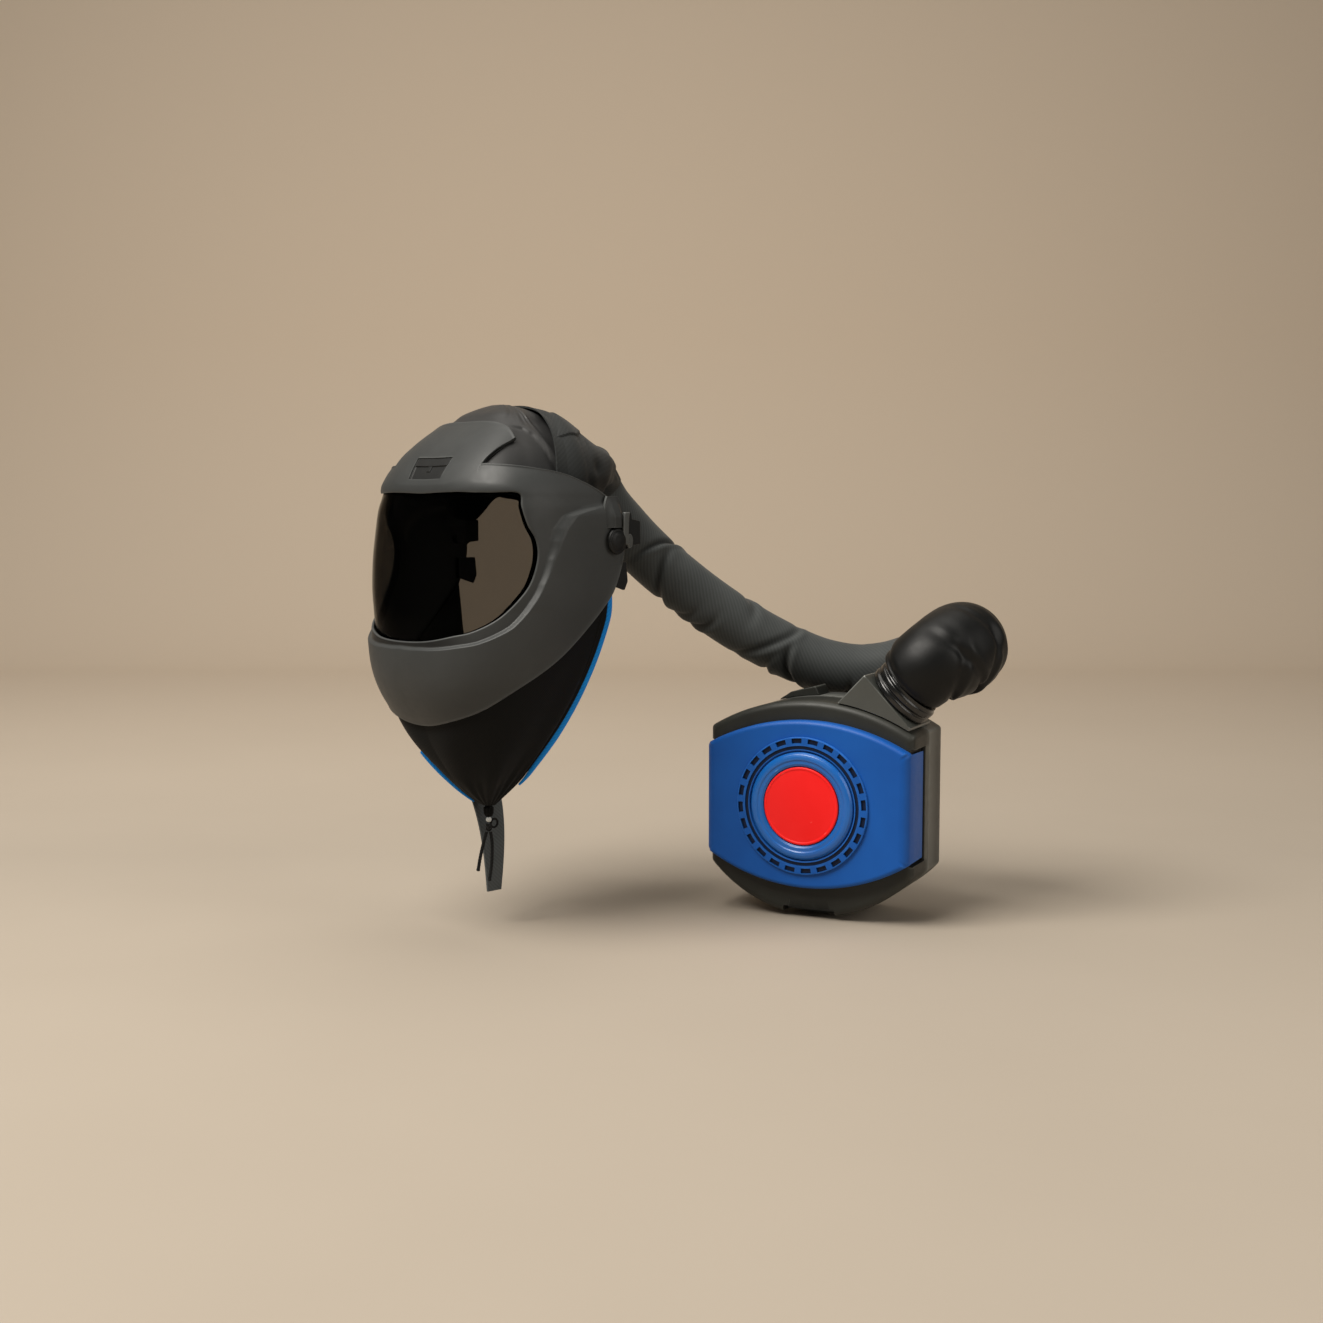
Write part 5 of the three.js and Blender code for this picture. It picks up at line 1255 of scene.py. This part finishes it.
HOUSE_HALF, HOUSE_UPPER, HOUSE_LOWER, HOUSE_CROWN, HOUSE_BASE = 103, 70, -64, 99, -110
HOUSE_OUTLINE = bowed(HOUSE_HALF, HOUSE_UPPER, HOUSE_LOWER, HOUSE_CROWN, HOUSE_BASE)
print("housing outline:", len(HOUSE_OUTLINE), "points")

# %% Housing front
HOUSE_FRONT, HOUSE_PART, HOUSE_BACK = -39.0, 10.0, 52.0
SOFT_EDGE, FRONT_ROUND = 3, 2.2
RECESS_SIDE, RECESS_BACK, RECESS_LOW, RECESS_HIGH = 99, -1, -53, 57
NOTCH_HALF, NOTCH_BACK, NOTCH_ROOF = 26, -17, -101
# Painted shade on the floors of the tab recesses and of the finger notch
RECESS_SHADE = 0.75
quarter = np.linspace(0, np.pi / 2, 6)
soft_in = SOFT_EDGE * (1 - np.sin(quarter))
soft_down = SOFT_EDGE * (1 - np.cos(quarter))
house_inset = np.r_[FRONT_ROUND * soft_in, 0, 0, 0, 0, 0, 0, 0.5]
# Rows lie close together beside the notch's and the recess's back wall, so that both stay sharp
house_depth = np.r_[HOUSE_FRONT + FRONT_ROUND * soft_down, -18, -17.4, -16.8, -1.4, -0.6,
                    HOUSE_PART - 0.5, HOUSE_PART]
house = moulding(HOUSE_OUTLINE, house_inset, house_depth)
x, y, z = house[..., 0], house[..., 1], house[..., 2]
recess = (np.abs(x) > RECESS_SIDE) & (y < RECESS_BACK) & (z > RECESS_LOW) & (z < RECESS_HIGH)
notch = (np.abs(x) < NOTCH_HALF) & (y < NOTCH_BACK) & (z < NOTCH_ROOF)
house[..., 0] = np.where(recess, RECESS_SIDE * np.sign(x), x)
house[..., 2] = np.where(notch, NOTCH_ROOF, z)
piece("housing_shell", HOUSING_ABS, [on_blower(skin(house))], ["housing_front"],
      sharp=35, shade=RECESS_SHADE * (recess | notch))

# %% Housing rear
rear_inset = np.r_[0.5, 0, 0, soft_in[::-1]]
rear_depth = np.r_[HOUSE_PART + 0.35, HOUSE_PART + 0.85, HOUSE_BACK - 10,
                   HOUSE_BACK - soft_down[::-1]]
rear = moulding(HOUSE_OUTLINE, rear_inset, rear_depth)
pad_outline = soften([(-60, -65), (60, -65), (60, 25), (-60, 25)], 8, 0.8)
pad_inset = np.r_[0, 0, soft_in[::-1] / 2]
pad_depth = np.r_[HOUSE_BACK - 1, HOUSE_BACK + 1, HOUSE_BACK + 3 - soft_down[::-1] / 2]
piece("housing_rear", BACK_ABS,
      [on_blower(skin(rear)), on_blower(skin(moulding(pad_outline, pad_inset, pad_depth)))],
      ["housing_back"], sharp=35)


# %% Guide and strip
def housing_top(x):
    """Height of the housing's bowed top at a place across it: the arc of a circle."""
    rise = HOUSE_CROWN - HOUSE_UPPER
    size = (HOUSE_HALF ** 2 + rise ** 2) / (2 * rise)
    return HOUSE_CROWN - size + np.sqrt(size ** 2 - np.asarray(x) ** 2)


def upright_plate(corners, front, back, radius, corner_radius=1.5):
    """A plate with rounded edges on the blower, from an outline in (x, z)."""
    inset, depth = bevelled(front, back, radius)
    return on_blower(skin(moulding(soften(corners, corner_radius, 0.5), inset, depth)))


GUIDE_RIGHT, GUIDE_LEFT, GUIDE_TALL, GUIDE_GAP = -10, -52, 9, 0.4
guide_foot = np.linspace(GUIDE_RIGHT, GUIDE_LEFT, 20)
guide = [*np.column_stack([guide_foot, housing_top(guide_foot) + GUIDE_GAP]),
         (-40, housing_top(GUIDE_LEFT) + GUIDE_TALL), (-14, housing_top(GUIDE_RIGHT) + GUIDE_TALL)]
piece("cord_guide", HOUSING_ABS, [upright_plate(guide, 14, 44, 1.2)],
      ["top_guide"])
strip = [(-25.6, -105.5), (25.6, -105.5), (25.6, -101.4), (-25.6, -101.4)]
piece("notch_strip", WEBBING, [upright_plate(strip, -28, -17.4, 0.6, 0.8)],
      ["base_strip"])

# %% [markdown]
# ## Filter cover
# The blue cover is a front plate that turns round both sides of the housing as tabs. It is the
# same kind of moulding, except that the depth of its wall changes round the outline: shallow along
# the bows, deep at the straight sides, where the bend is also rounder.

# %% Cover
cover_outline = bowed(102.3, 54, -50, 81, -80, 2.5)
cover_x, cover_z = cover_outline.T
tab_part = ((np.abs(cover_x) > 101.6) & (cover_z > -49.5) & (cover_z < 53.5)).astype(float)
COVER_FRONT, COVER_BACK, TAB_BACK = -52.0, -39.5, -5.0
edge_round = 4 + 5 * ramp(np.abs(cover_x), 98.5, 102)
cover_back = COVER_BACK + (TAB_BACK - COVER_BACK) * tab_part
cover_inset = [*(edge_round * (1 - np.sin(q)) for q in quarter), 0, 0.3, 0.8, 2.2, 2.7, 3.0, 3.0]
cover_depth = [*(COVER_FRONT + edge_round * (1 - np.cos(q)) for q in quarter),
               cover_back - 0.8, cover_back - 0.25, cover_back, cover_back, cover_back - 0.25,
               cover_back - 0.8, COVER_BACK]
cover = moulding(cover_outline, cover_inset, cover_depth)
piece("blue_cover", BLUE_ABS, [on_blower(skin(cover))], ["filter_cover"], sharp=35)

# %% [markdown]
# ### Intake ring, hub and disc
# Air enters through a ring of slots round the hub. The ring is a small closed profile carried
# round, with a groove inside the slots; its top drops to a floor inside each slot, and columns
# stand close together at the slots' ends so that these are sharp. The groove and the slot floors
# get painted shade. The hub is a turned roll, and the red disc in its middle is turned too, with a
# fine raised border and a plain face.

# %% Intake ring
RING_MIDDLE = np.array((-2.0, COVER_FRONT - 0.35, 0.0))
SLOTS = 24
beat = np.array([0, 0.015, 0.15, 0.3, 0.45, 0.605, 0.62, 0.72, 0.82, 0.92])
open_beat = (beat > 0.01) & (beat < 0.61)
ring_angle = (2 * np.pi / SLOTS * (np.arange(SLOTS)[:, None] + beat)).ravel()
in_slot = np.tile(open_beat, SLOTS)
ring_radius = np.array([53.0, 53.0, 53.3, 53.8, 54.2, 54.4, 57.4, 57.6, 59.0, 60.0, 60.2, 64.6,
                        64.8, 65.2, 65.7, 66, 66])
ring_height = np.r_[0, 1.9, 2.4, 2.6, 2.6, 1.2, 1.2, np.full(7, 2.6), 2.4, 1.9, 0]
# Painted shade in the groove and on the floors of the slots
GROOVE_ROWS, SLOT_ROWS, SLOT_FLOOR, SLOT_SHADE = (5, 6), (10, 11), 0.35, 0.9
ring_row = np.arange(len(ring_radius))
groove_row = np.isin(ring_row, GROOVE_ROWS)[:, None]
slot_row = np.isin(ring_row, SLOT_ROWS)[:, None] & in_slot
ring_level = np.where(slot_row, SLOT_FLOOR, ring_height[:, None])
ring_grid = np.stack(np.broadcast_arrays(
    RING_MIDDLE[0] + ring_radius[:, None] * np.cos(ring_angle), RING_MIDDLE[1] - ring_level,
    ring_radius[:, None] * np.sin(ring_angle)), -1)
piece("slotted_ring", BLUE_ABS,
      [on_blower(skin(ring_grid, round_rows=True, poles=False))], ["intake_ring"], sharp=30,
      shade=SLOT_SHADE * (slot_row | groove_row))

# %% Hub and disc
FORWARD = np.array((0, -1, 0))
hub_profile = soften([(38.2, 0.2), (51.5, 0.2), (51.5, 2), (49.5, 4.4), (47, 5.2), (44.5, 5.2),
                      (43.5, 4.2), (40.5, 4.2), (39.5, 3.6), (38.2, 3)], 0.6, 0.25)
# Hub: the same blue polished by fingers; its roll carries a bright line from its gloss and from
# pale edges that are partly wear and partly painted highlight
HUB_ABS = moulded("polished_blue_abs", "#0e5cae", "#1266ba", "#6fb0ea", 0.7, 0.3, shine=0.6)
piece("hub_roll", HUB_ABS,
      [on_blower(turned(hub_profile, RING_MIDDLE, FORWARD, 160, closed=True))], ["hub_ring"],
      sharp=50)
disc_profile = soften([(0.5, 0.2), (37.4, 0.2), (37.4, 3.5), (36.6, 4.2), (35.2, 4.2), (34.6, 3.7),
                       (18, 4.3), (0.5, 4.6)], 0.4, 0.25, closed=False)
piece("red_disc", RED_ABS,
      [on_blower(turned(disc_profile, RING_MIDDLE, FORWARD, 160))], ["hub_disc"], sharp=50)

# %% [markdown]
# ## Outlet, collar and boot
# On the housing's right shoulder a three-cornered duct leads the air out to a ribbed rubber collar,
# and a bulging black boot turns the flow back into the hose. The duct is an upright plate and the
# collar a turned profile. The boot is a tube whose radius swells along a bent path, creased where
# the bend squeezes it, and its end laps over the hose. A bent cylinder would keep one thickness;
# a table of path and radius gives the bulge.

# %% Duct and collar
duct_foot = np.linspace(26, 97, 30)
duct = [(53, 126), *np.column_stack([duct_foot, housing_top(duct_foot) + 0.5]), (99, 77)]
# Handled often: glossier than the housing, and paler on its edges, partly as wear and partly as
# painted highlight, so that the edges shine as thin lines
DUCT_ABS = moulded("polished_grey_abs", "#3c3e3b", "#484a46", "#f0f1ee", 2.4, 0.34, shine=0.6)
piece("outlet_mouth", DUCT_ABS, [upright_plate(duct, -36, 30, 2.0, 2.0)],
      ["outlet_duct"], sharp=30)
OUTLET_AXIS = unit(np.array((49.0, 0, 46)))
OUTLET_MIDDLE = np.array((76, -3, 101.5)) + 0.35 * OUTLET_AXIS
collar_profile = soften([(0.5, 0), (31, 0), (33.5, 2), (33.5, 6), (31.5, 8), (33.5, 10),
                         (33.5, 14), (31.5, 16), (31.5, 19), (0.5, 19)], 0.8, 0.4, closed=False)
# Collar: black rubber polished by the boot that is pulled over it; the bright lines on its ribs
# come from its gloss and from pale edges that are partly wear and partly painted highlight
COLLAR_RUBBER = moulded("polished_black_rubber", "#070808", "#0d0e0e", "#5a5b5b", 1.0, 0.24,
                        shine=0.6)
piece("ribbed_collar", COLLAR_RUBBER,
      [on_blower(turned(collar_profile, OUTLET_MIDDLE, OUTLET_AXIS, 96))], ["hose_coupling"],
      sharp=50)

# %% Boot
# Boot: satin black rubber, whose broad dim highlight shows how round it is
BOOT_RUBBER = moulded("satin_black_rubber", "#060707", "#0b0c0c", "#1c1d1d", 3.0, 0.46)
# Path of the boot and its radius
BOOT_ROWS = [
    (88.5, -3, 117.5, 34.5), (104.5, -3, 133, 38.5), (118.5, 13, 143, 42.5),
    (124.5, 38, 148.5, 44), (118, 62, 149.5, 40), (102, 80, 145, 33.5),
    (76.5, 91.6, 135.7, 28.8)]
# Creases as on the hose: place, slant, width, angle of the deepest point, depth
BOOT_CREASES = np.array([
    (10, 4, 3, 60, 1.6), (28, 12, 3, 320, 2.4), (45, -14, 3, 340, 2.4), (58, 10, 3, 330, 2.4),
    (72, -12, 3.5, 350, 1.8), (90, 14, 5, 300, 1.6), (108, -10, 5, 240, 1.6), (120, 8, 4, 120, 1.2)])
BOOT_SIDES, LIP_WIDE, MOUTH_LIP, HOSE_LIP = 96, 2, 2.5, 1.2
boot_rows = evenly(cubic(BOOT_ROWS, np.linspace(0, len(BOOT_ROWS) - 1, 400)), 180)
boot_run = np.r_[0, np.cumsum(np.linalg.norm(np.diff(boot_rows[:, :3], axis=0), axis=1))]
boot_angle = 2 * np.pi * np.arange(BOOT_SIDES) / BOOT_SIDES
boot_radius = boot_rows[:, 3:] + creased(boot_run, boot_angle, BOOT_CREASES)
from_mouth, from_hose = boot_run[:, None], boot_run[-1] - boot_run[:, None]
boot_radius -= (MOUTH_LIP * np.exp(-(from_mouth / LIP_WIDE) ** 2)
                + HOSE_LIP * np.exp(-(from_hose / LIP_WIDE) ** 2))
piece("elbow_sleeve", BOOT_RUBBER,
      [on_blower(tube(boot_rows[:, :3], boot_radius, UP, BOOT_SIDES))], ["elbow_boot"], sharp=60)

# %% [markdown]
# ## Floor and light
# A plain pale floor curves up into a wall behind the object, so that no corner shows. Light falls
# off with distance, and the paint gets paler away from the camera to make up for it, as a studio
# backdrop is lit by lamps of its own. Three square area lights do the rest: a large key from the
# front and above, a weak fill from the wearer's left, and a weak one from the top for the crown
# and the hose.

# %% Floor
FLOOR, COVE = -373.0, 900.0
FLOOR_MIDDLE = np.array((150, 100, FLOOR))
back_way = np.array((-0.713, 0.701, 0.0))
side_way = np.array((0.701, 0.713, 0.0))
bend = np.linspace(0, np.pi / 2, 40)
out = np.r_[-4500, -2000, 0, 2000, 2600 + COVE * np.sin(bend), 3500]
high = np.r_[0, 0, 0, 0, COVE * (1 - np.cos(bend)), 5200]
across = np.linspace(-6000, 6000, 30)
floor_grid = (back_way * out[:, None, None] + side_way * across[:, None]
              + FLOOR_MIDDLE + UP * high[:, None, None])
# Matt wall paint: no shine, only a slow change of tone
paint, tree, shader = new_finish("pale_backdrop_paint", {"Roughness": 0.85})
place = add(tree, "TexCoord").outputs["Object"]
mottle = add(tree, "TexNoise", {"Vector": place, "Scale": 2.5, "Detail": 3.0})
tone = add(tree, "Mix", {0: mottle.outputs["Fac"], 6: linear("#a09587"),
                         7: linear("#a89d8f")}, data_type="RGBA")
away = add(tree, "VectorMath", {0: place, 1: back_way}, operation="DOT_PRODUCT").outputs["Value"]
far_off = add(tree, "MapRange", {"Value": away, "From Min": 0.3, "From Max": 2.6}).outputs[0]
wall = add(tree, "Mix", {0: far_off, 6: tone.outputs[2], 7: linear("#d8c8b4")},
           data_type="RGBA")
tree.links.new(wall.outputs[2], shader.inputs["Base Color"])
mesh = bpy.data.meshes.new("backdrop")
mesh.from_pydata((floor_grid.reshape(-1, 3) * MM).tolist(), [], cells(len(out), len(across)).tolist())
mesh.polygons.foreach_set("use_smooth", np.ones(len(mesh.polygons), bool))
mesh.materials.append(paint)
backdrop = bpy.data.objects.new("backdrop", mesh)
bpy.context.scene.collection.objects.link(backdrop)
print(f"floor at {FLOOR:.0f} mm")

# %% Light
world = bpy.data.worlds.new("studio")
bpy.context.scene.world = world
world.use_nodes = True
world.node_tree.nodes["Background"].inputs["Color"].default_value = linear("#e9e6e1")
world.node_tree.nodes["Background"].inputs["Strength"].default_value = 0.14
bpy.context.scene.view_settings.view_transform = "Standard"

AIM = np.array((0.1, 0.1, -0.1))
# Place and side in metres, power in watts
LIGHTS = {"key": ((-0.1, -1.7, 2.3), 1.8, 138), "fill": ((2.2, 0.6, 0.7), 1.4, 14),
          "top": ((-0.2, 0.4, 2.4), 2.0, 22)}
for name, (place, size, power) in LIGHTS.items():
    lamp = bpy.data.lights.new(name, "AREA")
    lamp.size, lamp.energy = size, power
    lamp.color = linear("#fffaf2")[:3]
    holder = bpy.data.objects.new(name, lamp)
    way = unit(AIM - np.array(place))
    holder.location = place
    holder.rotation_euler = (np.arccos(-way[2]), 0, np.arctan2(-way[0], way[1]))
    bpy.context.scene.collection.objects.link(holder)
print("lights:", list(LIGHTS))
